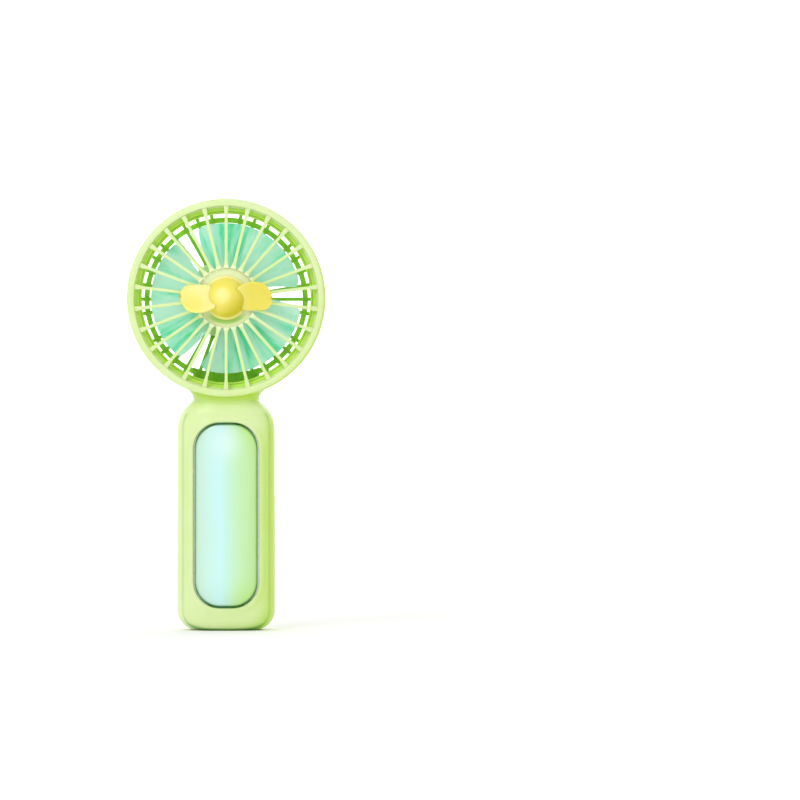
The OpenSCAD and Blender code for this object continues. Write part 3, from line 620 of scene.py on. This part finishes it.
def gripBase(points, columns):
    shrink = [0.93, 0.6, 0.25, 0.0]
    start, ring, faces = len(points), points[:columns], []
    for share in shrink:
        points += [Vector((p.x * share, p.y * share, 0)) for p in ring]
    for j in range(columns - 1):
        faces.append((j + 1, j, start + j, start + j + 1))
        for k in range(len(shrink) - 1):
            a, b = start + k * columns + j, start + (k + 1) * columns + j
            faces.append((a + 1, a, b, b + 1))
    return faces


# One half of the handle's skin with its base, neck and flare
def gripSkin(side, withWindow):
    columns = 2 * grip["columns"] + 1
    spots = [-1 + 2 * k / (columns - 1) for k in range(columns)]
    rows = gripRows()
    points = [gripPoint(side, v, z) for z in rows for v in spots]
    shoulderTop, shoulderSteps, flareSteps = rows[-1], 8, 8
    for k in range(1, shoulderSteps):
        points += [gripPoint(side, v, shoulderTop + (gripFoot(side, v) - shoulderTop) * k / shoulderSteps)
                   for v in spots]
    for k in range(flareSteps + 1):
        t = pi / 2 * k / flareSteps
        points += [gripPoint(side, v, 0, 1 - cos(t), sin(t)) for v in spots]
    faces = gridFaces(len(rows) + shoulderSteps + flareSteps, columns)
    faces += gripBase(points, columns)
    if withWindow:
        points, faces = cutWindow(points, faces, rows, columns)
    mesh = meshFrom("frontGrip" if side < 0 else "rearGrip", points, faces)
    return facingOut(mesh, Vector((0, side * 4 * mm, 50 * mm)))


# Distance outside a rounded outline of the window
def outsideWindow(x, z):
    qx = abs(x) - windowHalfWidth + window["radius"]
    qz = abs(z - windowCentre) - windowHalfHeight + window["radius"]
    return sqrt(max(qx, 0) ** 2 + max(qz, 0) ** 2) + min(max(qx, qz), 0) - window["radius"]


# Point on the line from the window's spine through a place, at a distance outside its outline
def windowPoint(x, z, distance):
    reach = windowHalfHeight - windowHalfWidth
    spine = windowCentre + max(-reach, min(reach, z - windowCentre))
    low, high = 0.0, 2.0
    for _ in range(30):
        t = (low + high) / 2
        if outsideWindow(x * t, spine + (z - spine) * t) < distance:
            low = t
        else:
            high = t
    return x * low, spine + (z - spine) * low


# Soft raised lip round the window, and the rounded edge into it
def lipOffset(distance):
    rise = window["raise"] * max(1 - (distance / window["lip"]) ** 2, 0) ** 1.5
    edge = window["edge"]
    drop = edge - sqrt(max(edge ** 2 - max(edge - distance, 0) ** 2, 0)) if distance < edge else 0
    return drop - rise


# The cells of the skin that the window takes, and the loop of points round them
def windowCells(points, rows, columns):
    margin = window["lip"] + 1.6 * mm
    firstRow = max(i for i, z in enumerate(rows) if z < windowCentre - windowHalfHeight - margin)
    lastRow = min(i for i, z in enumerate(rows) if z > windowCentre + windowHalfHeight + margin)
    middleRow = points[len(rows) // 2 * columns:(len(rows) // 2 + 1) * columns]
    left = max(j for j, p in enumerate(middleRow) if p.x < -windowHalfWidth - window["lip"] - 0.6 * mm)
    right = columns - 1 - left
    gone = {i * columns + j for i in range(firstRow, lastRow) for j in range(left, right)}
    loop = [firstRow * columns + j for j in range(left, right)]
    loop += [i * columns + right for i in range(firstRow, lastRow)]
    loop += [lastRow * columns + j for j in range(right, left, -1)]
    loop += [i * columns + left for i in range(lastRow, firstRow, -1)]
    return gone, loop


# Steps from the loop to the lip, over the lip to the edge, and down the window's wall
def windowSteps():
    steps = [("in", k / 4) for k in range(1, 4)]
    steps += [("at", window["lip"] * (1 - k / 8)) for k in range(8)]
    steps += [("at", window["edge"] * (1 - sin(pi / 2 * k / 6))) for k in range(1, 7)]
    return steps + [("down", 0.5), ("down", 1.0)]


def windowStep(p, kind, value):
    if kind == "in":
        x, z = windowPoint(p.x, p.z, window["lip"])
        x, z = p.x + (x - p.x) * value, p.z + (z - p.z) * value
        return Vector((x, -gripDepth(x, z), z))
    distance = value if kind == "at" else 0.0
    x, z = windowPoint(p.x, p.z, distance)
    y = -gripDepth(x, z) + lipOffset(distance)
    if kind == "down":
        y += (window["depth"] - window["edge"]) * value
    return Vector((x, y, z))


def cutWindow(points, faces, rows, columns):
    gone, loop = windowCells(points, rows, columns)
    faces = [f for f in faces if not (f[0] in gone and f[2] == f[0] + columns + 1)]
    before = loop
    for kind, value in windowSteps():
        ring = [len(points) + k for k in range(len(loop))]
        points += [windowStep(points[index], kind, value) for index in loop]
        for k in range(len(loop)):
            follow = (k + 1) % len(loop)
            faces.append((before[k], before[follow], ring[follow], ring[k]))
        before = ring
    return points, faces


# Gives an open skin its wall
def walled(mesh, wall):
    source = link(mesh.name, mesh)
    solid = source.modifiers.new("wall", "SOLIDIFY")
    solid.thickness, solid.offset = wall, -1
    result = applied(source)
    result.shade_smooth()
    result.set_sharp_from_angle(angle=radians(40))
    return result


def finished(name, mesh, material, body, slot, *replaced):
    mesh.name = name
    several = material if isinstance(material, list) else [material]
    chosen = [min(polygon.material_index, len(several) - 1) for polygon in mesh.polygons]
    mesh.materials.clear()
    for each in several:
        mesh.materials.append(each)
    mesh.polygons.foreach_set("material_index", chosen)
    piece = link(name, mesh)
    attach(piece, body)
    if replaced:
        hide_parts(*replaced)
    print(name, len(mesh.polygons), "faces")
    return piece


# Front shell

bezel = {"front": -17 * mm, "seat": 43.05 * mm, "lip": 2.4 * mm, "shelf": 1.6 * mm, "seam": 0.12 * mm}


def bezelRing():
    out, seat, front, seam = headRadius, bezel["seat"], bezel["front"], bezel["seam"]
    ring = [(out, -seam, 0.2 * mm), (out, front, bezel["lip"] * 0.95), (seat - 0.6 * mm, front, 0.9 * mm),
            (seat - 0.6 * mm, front + 2.2 * mm, 0.2 * mm), (seat, front + 2.4 * mm, 0),
            (seat, -seam, 0.2 * mm)]
    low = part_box("front_grille")[1].y + 0.1 * mm
    high, inner, outer = low + 1.2 * mm, seat - bezel["shelf"], seat + 0.3 * mm
    shelf = [(inner, low, 0.1 * mm), (outer, low, 0), (outer, high, 0), (inner, high, 0.1 * mm)]
    return [turned("bezel", roundCorners(ring, 9)), turned("shelf", roundCorners(shelf, 2))]


def frontShell():
    mesh = joined("frontShell", [gripSkin(-1, True)] + bezelRing())
    return finished("frontShell", mesh, limeFront, "root", "lime_shell", "front_shell")


frontShell()

# Front grille

grille = {"ribs": 26, "width": 1.45 * mm, "endWidth": 2.9 * mm, "depth": 2.2 * mm, "hub": 14.2 * mm,
          "hole": 1.1 * mm, "end": 43.5 * mm, "swellFrom": 38 * mm, "rise": 4 * mm,
          "slopeOut": 42.4 * mm, "slopeIn": 39.1 * mm}
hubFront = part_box("front_grille")[0].y
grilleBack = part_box("front_grille")[1].y


def grilleFront(radius):
    share = (radius ** 2 - grille["hub"] ** 2) / (grille["end"] ** 2 - grille["hub"] ** 2)
    return hubFront + 0.7 * mm + grille["rise"] * share


# The ring that slopes in from the bezel, with its grooves, as (radius, depth behind the hub)
def grilleSlope():
    out, inner, back = grille["slopeOut"], grille["slopeIn"], grilleBack - hubFront
    outline = [(out + 0.5 * mm, 3.6 * mm, 0.2 * mm), (out - 0.5 * mm, 4.0 * mm, 0.3 * mm),
               (out - 1.1 * mm, 5.0 * mm, 0.3 * mm), (out - 1.2 * mm, 5.7 * mm, 0.15 * mm),
               (out - 1.5 * mm, 5.6 * mm, 0.15 * mm), (inner + 0.5 * mm, 6.9 * mm, 0.3 * mm),
               (inner + 0.4 * mm, 7.5 * mm, 0.15 * mm), (inner, 7.7 * mm, 0.2 * mm),
               (inner, back, 0.2 * mm), (out + 0.5 * mm, back, 0.1 * mm)]
    return turned("grilleSlope", roundCorners([(r, hubFront + y, c) for r, y, c in outline], 4))


def grilleHub():
    hub, hole = grille["hub"], grille["hole"]
    outline = [(hole, 0, 0), (hub - 0.9 * mm, 0.15 * mm, 0.8 * mm), (hub + 0.2 * mm, 0.6 * mm, 0.4 * mm),
               (hub + 0.2 * mm, 2.6 * mm, 0.3 * mm), (hole, 2.4 * mm, 0)]
    return turned("grilleHub", roundCorners([(r, hubFront + y, c) for r, y, c in outline], 6))


def grilleRibs():
    hub, start, end = grille["hub"], grille["hub"] - 0.6 * mm, grille["end"]
    path = []
    for k in range(27):
        radius = start + (end - start) * (k / 26) ** (0.8 if k < 26 else 1)
        path.append((radius, grilleFront(radius)))
    path.append((end + 0.3 * mm, grilleFront(end) + 0.4 * mm))

    def width(radius, k):
        root = 1.2 * mm * exp(-max(radius - hub, 0) / (1.2 * mm))
        drop = max(radius - grille["swellFrom"], 0) / (end - grille["swellFrom"])
        swell = (grille["endWidth"] - grille["width"]) * min(drop, 1)
        taper = 1 if k < len(path) - 3 else (0.86, 0.62, 0.3)[k - len(path) + 3]
        return (grille["width"] + root + swell) * taper

    rib = bar("grilleRib", path, width, grille["depth"], 0.55 * mm)
    return roundHead("grilleRibs", rib, grille["ribs"], 0.0, 2 * pi / grille["ribs"], limeFine)


def frontGrille():
    mesh = joined("frontGrille", [grilleSlope(), grilleHub(), grilleRibs()])
    return finished("frontGrille", mesh, limeFine, "root", "lime_shell", "front_grille")


frontGrille()

# Impeller

fan = {"blades": 3, "sweep": 104, "lean": 11, "first": -112, "thickness": 1.1 * mm, "round": 3.2 * mm,
       "root": 11.8 * mm, "hub": 13 * mm, "bow": 0.9 * mm, "inset": 0.6 * mm, "shaft": 1.02 * mm}
fanLow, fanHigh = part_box("impeller")


# A place on a blade at a radius, at a share of its sweep, on its front or back
def bladePoint(r, share, root, tip, side):
    reach = (r - root) / (tip - root)
    turn = fan["first"] - fan["lean"] + fan["lean"] * reach + share * fan["sweep"]
    front, back = fanLow.y + fan["inset"], fanHigh.y - fan["inset"]
    bow = fan["bow"] * sin(pi * share)
    depth = front + (back - front) * share + bow
    thick = fan["thickness"] * (0.35 + 0.65 * sin(pi * min(max(share, 0.02), 0.98)) ** 0.5)
    angle = radians(turn)
    return Vector((r * cos(angle), depth + side * thick / 2, -r * sin(angle)))


# Two grids of points, the front one first, closed round their border
def closedGrid(name, points, rows, columns, smoothAngle):
    size = rows * columns
    faces = gridFaces(rows, columns)
    faces += [tuple(size + v for v in reversed(f)) for f in faces]
    border = list(range(columns)) + [i * columns + columns - 1 for i in range(1, rows)]
    border += [(rows - 1) * columns + k for k in range(columns - 2, -1, -1)]
    border += [i * columns for i in range(rows - 2, 0, -1)]
    for k, a in enumerate(border):
        b = border[(k + 1) % len(border)]
        faces.append((b, a, size + a, size + b))
    return meshFrom(name, points, faces, smoothAngle)


def impellerBlade(index):
    root = fan["root"]
    tip = max(abs(fanLow.z - headZ), abs(fanHigh.z - headZ))
    across, along = 18, 56
    points = []
    for side in (-1, 1):
        for i in range(across + 1):
            r = root + (tip - root) * i / across
            # rounded leading corner and a softer trailing one
            cut = max(r - (tip - fan["round"]), 0) / fan["round"]
            fall = 1 - sqrt(max(1 - cut * cut, 0))
            lead, trail = 1 - fall * 0.06, fall * 0.02
            for k in range(along + 1):
                share = trail + (lead - trail) * k / along
                points.append(bladePoint(r, share, root, tip, side))
    mesh = closedGrid("blade", points, across + 1, along + 1, 50)
    mesh.transform(Matrix.Rotation(radians(360 / fan["blades"] * index), 4, "Y"))
    mesh.transform(Matrix.Translation(headCentre))
    return mesh


def impellerHub():
    front, back, radius, bore = fanLow.y, fanHigh.y, fan["hub"], fan["shaft"]
    cup = [(2.9 * mm, front, 0), (radius, front, 1.2 * mm), (radius, back, 0.3 * mm),
           (radius - 1.4 * mm, back, 0.3 * mm), (radius - 1.4 * mm, front + 1.6 * mm, 0.6 * mm),
           (3.1 * mm, front + 1.6 * mm, 0.3 * mm), (3.1 * mm, back - 1 * mm, 0.2 * mm),
           (bore, back - 1 * mm, 0), (bore, front, 0)]
    return turned("impellerHub", roundCorners(cup, 4), 96)


def impeller():
    meshes = [impellerHub()] + [impellerBlade(i) for i in range(fan["blades"])]
    return finished("fanImpeller", joined("fanImpeller", meshes), mint, "rotor", "mint_blade", "impeller")


impeller()

# Propeller

paddles = {"root": 5 * mm, "tip": 21.3 * mm, "top": 6.6 * mm, "bottom": 7.9 * mm, "pitch": 24,
           "thickness": 1.5 * mm, "cup": 1.0 * mm, "ball": 9.2 * mm, "flange": 10.2 * mm,
           "bore": 1.0 * mm, "bladeDepth": -23.9 * mm}
propLow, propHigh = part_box("propeller")


# Upper and lower edge of the left paddle at a reach from the axis
def paddleEdges(reach):
    root, tip = paddles["root"], paddles["tip"]
    share = (reach - root) / (tip - root)
    end = max(reach - (tip - 4.6 * mm), 0) / (4.6 * mm)
    closing = sqrt(max(1 - end ** 2.4, 0))
    top = paddles["top"] * (0.74 + 0.26 * min(share * 4, 1)) * (1 - 0.04 * share)
    bulge = sin(pi * min(max(0.18 + share * 0.66, 0), 1)) ** 0.8
    bottom = paddles["bottom"] * bulge
    middle = (top - bottom) / 2 - 0.2 * mm
    return middle + (top - middle) * closing, middle - (bottom + middle) * closing


def paddleMesh():
    along, across = 44, 22
    points = []
    root, tip = paddles["root"], paddles["tip"]
    for side in (-1, 1):
        for i in range(along + 1):
            share = i / along
            reach = root + (tip - root) * (1 - (1 - share) ** 1.6)
            top, bottom = paddleEdges(reach)
            for k in range(across + 1):
                v = -cos(pi * k / across)
                z = (top + bottom) / 2 + (top - bottom) / 2 * v
                body = max(1 - abs(v) ** 5, 0) ** 0.5
                end = max(reach - (tip - 1.2 * mm), 0) / (1.2 * mm)
                body *= sqrt(max(1 - end * end, 0.0))
                cup = paddles["cup"] * (1 - v * v)
                points.append(Vector((-reach, side * paddles["thickness"] / 2 * body + cup, z)))
    # the two sides meet all round, so their doubles close the paddle
    size = (along + 1) * (across + 1)
    faces = gridFaces(along + 1, across + 1)
    faces += [tuple(size + v for v in reversed(f)) for f in faces]
    mesh = meshFrom("paddle", points, faces, 60)
    mesh.transform(Matrix.Rotation(radians(-paddles["pitch"]), 4, "X"))
    return mesh


def propellerHub():
    ball, flange = paddles["ball"], paddles["flange"]
    front, back = propLow.y, propHigh.y
    centre = front + ball
    outline = [(paddles["bore"], back), (flange - 0.3 * mm, back), (flange, back - 0.3 * mm),
               (flange, back - 0.75 * mm), (flange - 0.15 * mm, back - 1.05 * mm),
               (flange - 0.45 * mm, back - 1.2 * mm)]
    first = (back - 1.2 * mm - centre) / ball
    startAngle = atan2(sqrt(max(1 - first * first, 0)), -first)
    for k in range(30):
        angle = startAngle * (1 - k / 29)
        outline.append((max(ball * sin(angle), 0.001 * mm), centre - ball * cos(angle)))
    outline.append((paddles["bore"], back - 1.4 * mm))
    return turned("propellerHub", outline, 96, 50)


def propeller():
    meshes = [propellerHub()]
    for turn in (0, pi):
        blade = paddleMesh()
        blade.transform(Matrix.Rotation(turn, 4, "Y"))
        blade.transform(Matrix.Translation((0, paddles["bladeDepth"], headZ)))
        for polygon in blade.polygons:
            polygon.material_index = 1
        meshes.append(blade)
    mesh = joined("frontPropeller", meshes)
    return finished("frontPropeller", mesh, butter, "propeller", "butter_blade", "propeller")


propeller()

# Rear shell

rear = {"spokes": 33, "firstSpoke": 200, "step": 10, "spokeWidth": 1.6 * mm, "cup": 18.2 * mm,
        "discSeat": 16.95 * mm, "tieOut": 38.3 * mm, "tieIn": 35.8 * mm, "tieFront": 15.9 * mm,
        "tieBack": 17.8 * mm, "ribWidth": 8.1 * mm, "footWidth": 30.9 * mm, "footEdge": 0.6 * mm,
        "spokeFrom": 17.8 * mm, "flatFrom": 23 * mm, "cupRise": 1.1 * mm, "cupFront": -0.5 * mm,
        "cupBack": 19.75 * mm, "coverSeat": 18.35 * mm, "rimBack": 3.6 * mm}


# Outer profile of the cage from the cup to the rim, as (radius, depth)
def cageProfile(start, end):
    corner, back = cage["corner"], cage["back"]
    bend = headRadius - corner
    path = []
    flat = rear["flatFrom"]
    for k in range(9):
        t = k / 8
        path.append((start + (flat - start) * t, back + rear["cupRise"] * (1 - t) ** 2))
    path += [(flat + (bend - flat) * k / 8, back) for k in range(1, 9)]
    for k in range(1, 13):
        turn = pi / 2 * k / 12
        path.append((bend + corner * sin(turn), back - corner + corner * cos(turn)))
    path += [(headRadius, back - corner - (back - corner - end) * k / 6) for k in range(1, 7)]
    return path


def rearSpokes():
    def width(radius, _):
        root = 1.5 * mm * exp(-max(radius - rear["cup"], 0) / (0.9 * mm))
        return rear["spokeWidth"] + root

    spoke = bar("rearSpoke", cageProfile(rear["spokeFrom"], 3 * mm), width, cage["thickness"], 0.5 * mm)
    first, step = radians(rear["firstSpoke"]), radians(rear["step"])
    return roundHead("rearSpokes", spoke, rear["spokes"], first, step, limeCage)


# Half the width of the wide rib and the foot below it, by the drop under the axis
def footHalfWidth(drop):
    rib = rear["ribWidth"] / 2 + 2.0 * mm * max(drop - 22 * mm, 0) / (12 * mm)
    share = min(max((drop - 31.5 * mm) / (4.2 * mm), 0), 1)
    wide = rear["footWidth"] / 2
    return rib + (wide - rib) * (1 - sqrt(1 - share ** 2.6))


# The cage's profile with three more places between each two
def finePath(path):
    fine = []
    for a, b in zip(path, path[1:]):
        fine += [(a[0] + (b[0] - a[0]) * k / 4, a[1] + (b[1] - a[1]) * k / 4) for k in range(4)]
    return fine + [path[-1]]


# The wide rib under the cup and the foot that it widens into
def rearFoot():
    path, across, rounding = finePath(cageProfile(rear["spokeFrom"], 0.3 * mm)), 24, rear["footEdge"]
    points = []
    for inner in (False, True):
        for i, (radius, depth) in enumerate(path):
            before, after = path[max(i - 1, 0)], path[min(i + 1, len(path) - 1)]
            along = Vector((after[0] - before[0], after[1] - before[1])).normalized()
            half = footHalfWidth(radius)
            for k in range(across + 1):
                v = -cos(pi * k / across)
                past = max(abs(v) * half - half + rounding, 0)
                edge = rounding * (1 - sqrt(max(1 - past ** 2 / rounding ** 2, 0)))
                sink = cage["thickness"] if inner else edge
                r, x = radius + along.y * sink, half * v
                points.append((x, depth - along.x * sink, headZ - sqrt(max(r * r - x * x, (3 * mm) ** 2))))
    return closedGrid("rearFoot", points, len(path), across + 1, 40)


# The rim at the seam, the ring that ties the spokes, and the motor's cup
def rearRings():
    out, seat, seam, deep = headRadius, bezel["seat"], bezel["seam"], rear["rimBack"]
    rim = [(out, seam, 0.2 * mm), (out, deep, 0.8 * mm), (seat, deep, 0.8 * mm), (seat, seam, 0.2 * mm)]
    tieOut, tieIn, tieFront, tieBack = rear["tieOut"], rear["tieIn"], rear["tieFront"], rear["tieBack"]
    tie = [(tieOut, tieFront, 0.4 * mm), (tieOut, tieBack, 0.5 * mm), (tieIn, tieBack, 0.5 * mm),
           (tieIn, tieFront, 0.4 * mm)]
    cup, disc, front, back = rear["cup"], rear["discSeat"], rear["cupFront"], rear["cupBack"]
    seatY, floorY, bore = rear["coverSeat"], rear["cupFront"] + 1.5 * mm, disc - 1.2 * mm
    wall = [(cup, front, 0.4 * mm), (cup, back, 0.5 * mm), (disc, back, 0.35 * mm), (disc, seatY, 0.1 * mm),
            (bore, seatY, 0.1 * mm), (bore, floorY, 0.3 * mm), (5 * mm, floorY, 0.1 * mm),
            (5 * mm, front, 0.2 * mm)]
    return [turned("rim", roundCorners(rim, 6)), turned("tie", roundCorners(tie, 4)),
            turned("cup", roundCorners(wall, 4))]


def block(low, high, rounding=0.3 * mm):
    bm = bmesh.new()
    bmesh.ops.create_cube(bm, size=1)
    for v in bm.verts:
        v.co = Vector([(a + b) / 2 + c * (b - a) for a, b, c in zip(low, high, v.co)])
    bmesh.ops.bevel(bm, geom=bm.edges[:], offset=rounding, segments=3, profile=0.5, affect="EDGES")
    mesh = bpy.data.meshes.new("block")
    bm.to_mesh(mesh)
    bm.free()
    return mesh


def cutAway(mesh, cutters):
    whole = link(mesh.name, mesh)
    tools = []
    for cutter in cutters:
        tool = link("cutter", cutter)
        tools.append(tool)
        step = whole.modifiers.new("cut", "BOOLEAN")
        step.operation, step.solver, step.object = "DIFFERENCE", "EXACT", tool
    result = applied(whole)
    for tool in tools:
        bpy.data.objects.remove(tool)
    return result


eyelet = {"halfWidth": 2.3 * mm, "low": 3.0 * mm, "high": 5.8 * mm, "near": 7.3 * mm, "far": 11.9 * mm,
          "wall": 0.9 * mm, "floor": 0.8 * mm, "through": 16 * mm, "round": 0.7 * mm}


def eyeletWalls():
    w, t, low = eyelet["halfWidth"], eyelet["wall"], eyelet["floor"]
    high, near, far = eyelet["high"], eyelet["near"], eyelet["far"]
    return [block((-w - t, near - t, low), (w + t, near, high + t)),
            block((-w - t, near - t, high), (w + t, far + 1.6 * mm, high + t)),
            block((-w - t, near - t, low), (-w, far + 1.2 * mm, high + t)),
            block((w, near - t, low), (w + t, far + 1.2 * mm, high + t))]


# The two mouths of the way behind the eyelet's bar, one on the back and one on the base
def eyeletMouths():
    w, near, high, rounding = eyelet["halfWidth"], eyelet["near"], eyelet["high"], eyelet["round"]
    return [block((-w, near, eyelet["low"]), (w, eyelet["through"], high), rounding),
            block((-w, near, -1 * mm), (w, eyelet["far"], high), rounding)]


guard = {"low": 42.5 * mm, "high": 33 * mm, "half": 8.6 * mm, "ridges": 15, "ridge": 0.35 * mm,
         "gap": 1.6 * mm, "side": 1.2 * mm}


# Ridged wall inside the foot, in front of the leads
def leadGuard():
    low, high, half, steps = headZ - guard["low"], headZ - guard["high"], guard["half"], guard["ridges"] * 4
    leads = nodes["motor_leads"]
    spots = [leads.matrix_world @ v.co for v in leads.data.vertices]
    near = min(p.y for p in spots if low < p.z < high) - guard["gap"]
    points = []
    for z in (low, high):
        points.append((-half, near + guard["side"], z))
        for k in range(steps + 1):
            points.append((-half + 2 * half * k / steps, near + (guard["ridge"] if k % 4 > 1 else 0), z))
        points.append((half, near + guard["side"], z))
    width = steps + 3
    faces = gridFaces(2, width, closed=True)
    faces += [tuple(range(width)), tuple(range(2 * width - 1, width - 1, -1))]
    return meshFrom("leadGuard", points, faces)


def rearShell():
    skin = cutAway(walled(gripSkin(1, False), grip["wall"]), eyeletMouths())
    meshes = [skin, rearSpokes(), rearFoot(), leadGuard()] + rearRings() + eyeletWalls()
    return finished("rearShell", joined("rearShell", meshes), limeCage, "root", "lime_shell", "rear_shell")


rearShell()

# Light panel

pillow = {"edge": 2.2 * mm, "crown": 0.6 * mm, "sink": 1.0 * mm, "gap": 0.5 * mm, "depth": 3.2 * mm,
          "columns": 144}


def lightPanel():
    n, gap, edge, full = pillow["columns"], pillow["gap"], pillow["edge"], windowHalfWidth
    rings = [(-1.2 * mm, pillow["depth"]), (gap, pillow["depth"] - 0.2 * mm)]
    for k in range(11):
        turn = pi / 2 * k / 10
        rings.append((gap + edge * (1 - cos(turn)), pillow["sink"] + edge * 0.6 * (1 - sin(turn))))
    for k in range(1, 13):
        rise = pillow["sink"] - (pillow["sink"] + pillow["crown"]) * sin(pi / 2 * k / 12) ** 0.9
        rings.append((gap + edge + (full - gap - edge) * k / 12, rise))
    points = []
    for inset, drop in rings:
        for k in range(n):
            turn = 2 * pi * k / n
            x, z = windowPoint(40 * mm * sin(turn), windowCentre + 70 * mm * cos(turn),
                               -min(inset, full - 1e-5))
            points.append((x, -gripDepth(x, z) + drop, z))
    faces = gridFaces(len(rings), n, closed=True)
    faces.append(tuple(range(n)))
    mesh = meshFrom("lightPanel", points, faces, 40)
    centre = (0, panelLow.y, windowCentre)
    material = mintPanelPlastic(centre, windowHalfWidth, windowHalfHeight)
    return finished("lightPanel", mesh, material, "root", "mint_panel", "light_panel")


lightPanel()

# Pieces kept from the frame

slotLooks = {
    "black_plastic": ("2c2d2f", "1c1d1f", 0.45, 900, 0.0),
    "white_plastic": ("eeeeea", "dcdcd6", 0.4, 900, 0.0),
    "circuit_board": ("2f7f46", "1f6a38", 0.4, 700, 0.0), "steel": ("c9ccd0", "a4a8ad", 0.3, 1400, 1.0),
    "ferrite": ("3a3a3c", "2a2a2c", 0.6, 1200, 0.0), "copper": ("c9783f", "b0602c", 0.3, 1300, 1.0),
    "bronze": ("b08d4c", "96763c", 0.4, 1300, 1.0), "core_steel": ("85888c", "6d7074", 0.45, 1400, 1.0),
    "light_chip": ("fff6c8", "f5e79a", 0.35, 1500, 0.0), "foam": ("3c3d3f", "242527", 0.85, 1800, 0.0),
    "cell_wrap": ("3f7fc4", "2f69aa", 0.3, 300, 0.0), "red_wire": ("c9302a", "a9231e", 0.4, 900, 0.0),
    "black_wire": ("242526", "161718", 0.4, 900, 0.0), "white_wire": ("ececea", "d8d8d4", 0.4, 900, 0.0)}


def slotName(name):
    first, *others = name.split("_")
    return first + "".join(word.capitalize() for word in others)


slotMaterials = {name: plainFinish(slotName(name), *look) for name, look in slotLooks.items()}
slotMaterials["lime_shell"] = limeCover

slotOf = {part["node"]: part["material_slot"] for part in frame["record"]["subparts"]}
drawn = {"front_shell", "front_grille", "rear_shell", "impeller", "propeller", "light_panel"}
for nodeName, node in nodes.items():
    if nodeName not in drawn:
        for index in range(len(node.data.materials)):
            node.data.materials[index] = slotMaterials[slotOf[nodeName]]
print("frame pieces finished")

# Floor, lights and camera

setting = {"key": 5.2, "fill": 0.45, "rim": 1.0, "world": 0.82, "backdrop": 1.0, "floor": 4.0,
           "wallBehind": 3.5, "cameraAway": 2.5, "cameraHeight": 0.1068, "aimRight": 0.0809, "lens": 241.7}


def floorPlane():
    mesh = bpy.data.meshes.new("floor")
    size = setting["floor"]
    mesh.from_pydata([(-size, -size, 0), (size, -size, 0), (size, size, 0), (-size, size, 0)], [],
                     [(0, 1, 2, 3)])
    floor = link("floor", mesh)
    f = Finish("floorPaper")
    f.feed("Base Color", f.mix(f.noise(3, 2), shade("f3f3f1"), shade("fbfbfa")))
    f.feed("Roughness", 0.75 + 0.1 * f.noise(40, 2))
    mesh.materials.append(f.material)


# A white wall far behind
def backdrop():
    mesh = bpy.data.meshes.new("backdrop")
    wide, depth = setting["floor"], setting["wallBehind"]
    mesh.from_pydata([(-wide, depth, -1), (wide, depth, -1), (wide, depth, 4), (-wide, depth, 4)], [],
                     [(0, 1, 2, 3)])
    wall = link("backdrop", mesh)
    f = Finish("backdropPaper", Emission_Color=(1, 1, 1, 1), Emission_Strength=setting["backdrop"])
    f.feed("Roughness", 0.8 + 0.1 * f.noise(20, 2))
    mesh.materials.append(f.material)


def softLight(name, spot, aim, size, power):
    lamp = bpy.data.lights.new(name, "AREA")
    lamp.shape, lamp.size, lamp.energy = "DISK", size, power
    holder = bpy.data.objects.new(name, lamp)
    holder.location = spot
    holder.rotation_euler = (Vector(aim) - Vector(spot)).to_track_quat("-Z", "Y").to_euler()
    bpy.context.scene.collection.objects.link(holder)


def camera():
    data = bpy.data.cameras.new("camera")
    holder = bpy.data.objects.new("camera", data)
    spot = Vector((0, -setting["cameraAway"], setting["cameraHeight"]))
    aim = Vector((setting["aimRight"], 0, setting["cameraHeight"]))
    holder.location = spot
    holder.rotation_euler = (aim - spot).to_track_quat("-Z", "Y").to_euler()
    data.sensor_width, data.lens = 36, 241.7
    data.clip_end = 50
    bpy.context.scene.collection.objects.link(holder)
    bpy.context.scene.camera = holder


def surroundings():
    world = bpy.data.worlds.new("studio")
    world.use_nodes = True
    background = world.node_tree.nodes["Background"]
    background.inputs["Color"].default_value = (1, 1, 1, 1)
    background.inputs["Strength"].default_value = setting["world"]
    bpy.context.scene.world = world
    bpy.context.scene.view_settings.view_transform = "Standard"


floorPlane()
backdrop()
softLight("keyLight", (-0.55, -1.0, 0.95), (0, 0, 0.11), 0.7, setting["key"])
softLight("fillLight", (0.9, -0.9, 0.35), (0, 0, 0.1), 0.9, setting["fill"])
softLight("rimLight", (0.5, 0.9, 0.8), (0, 0, 0.12), 0.7, setting["rim"])
camera()
surroundings()
print("stage set")
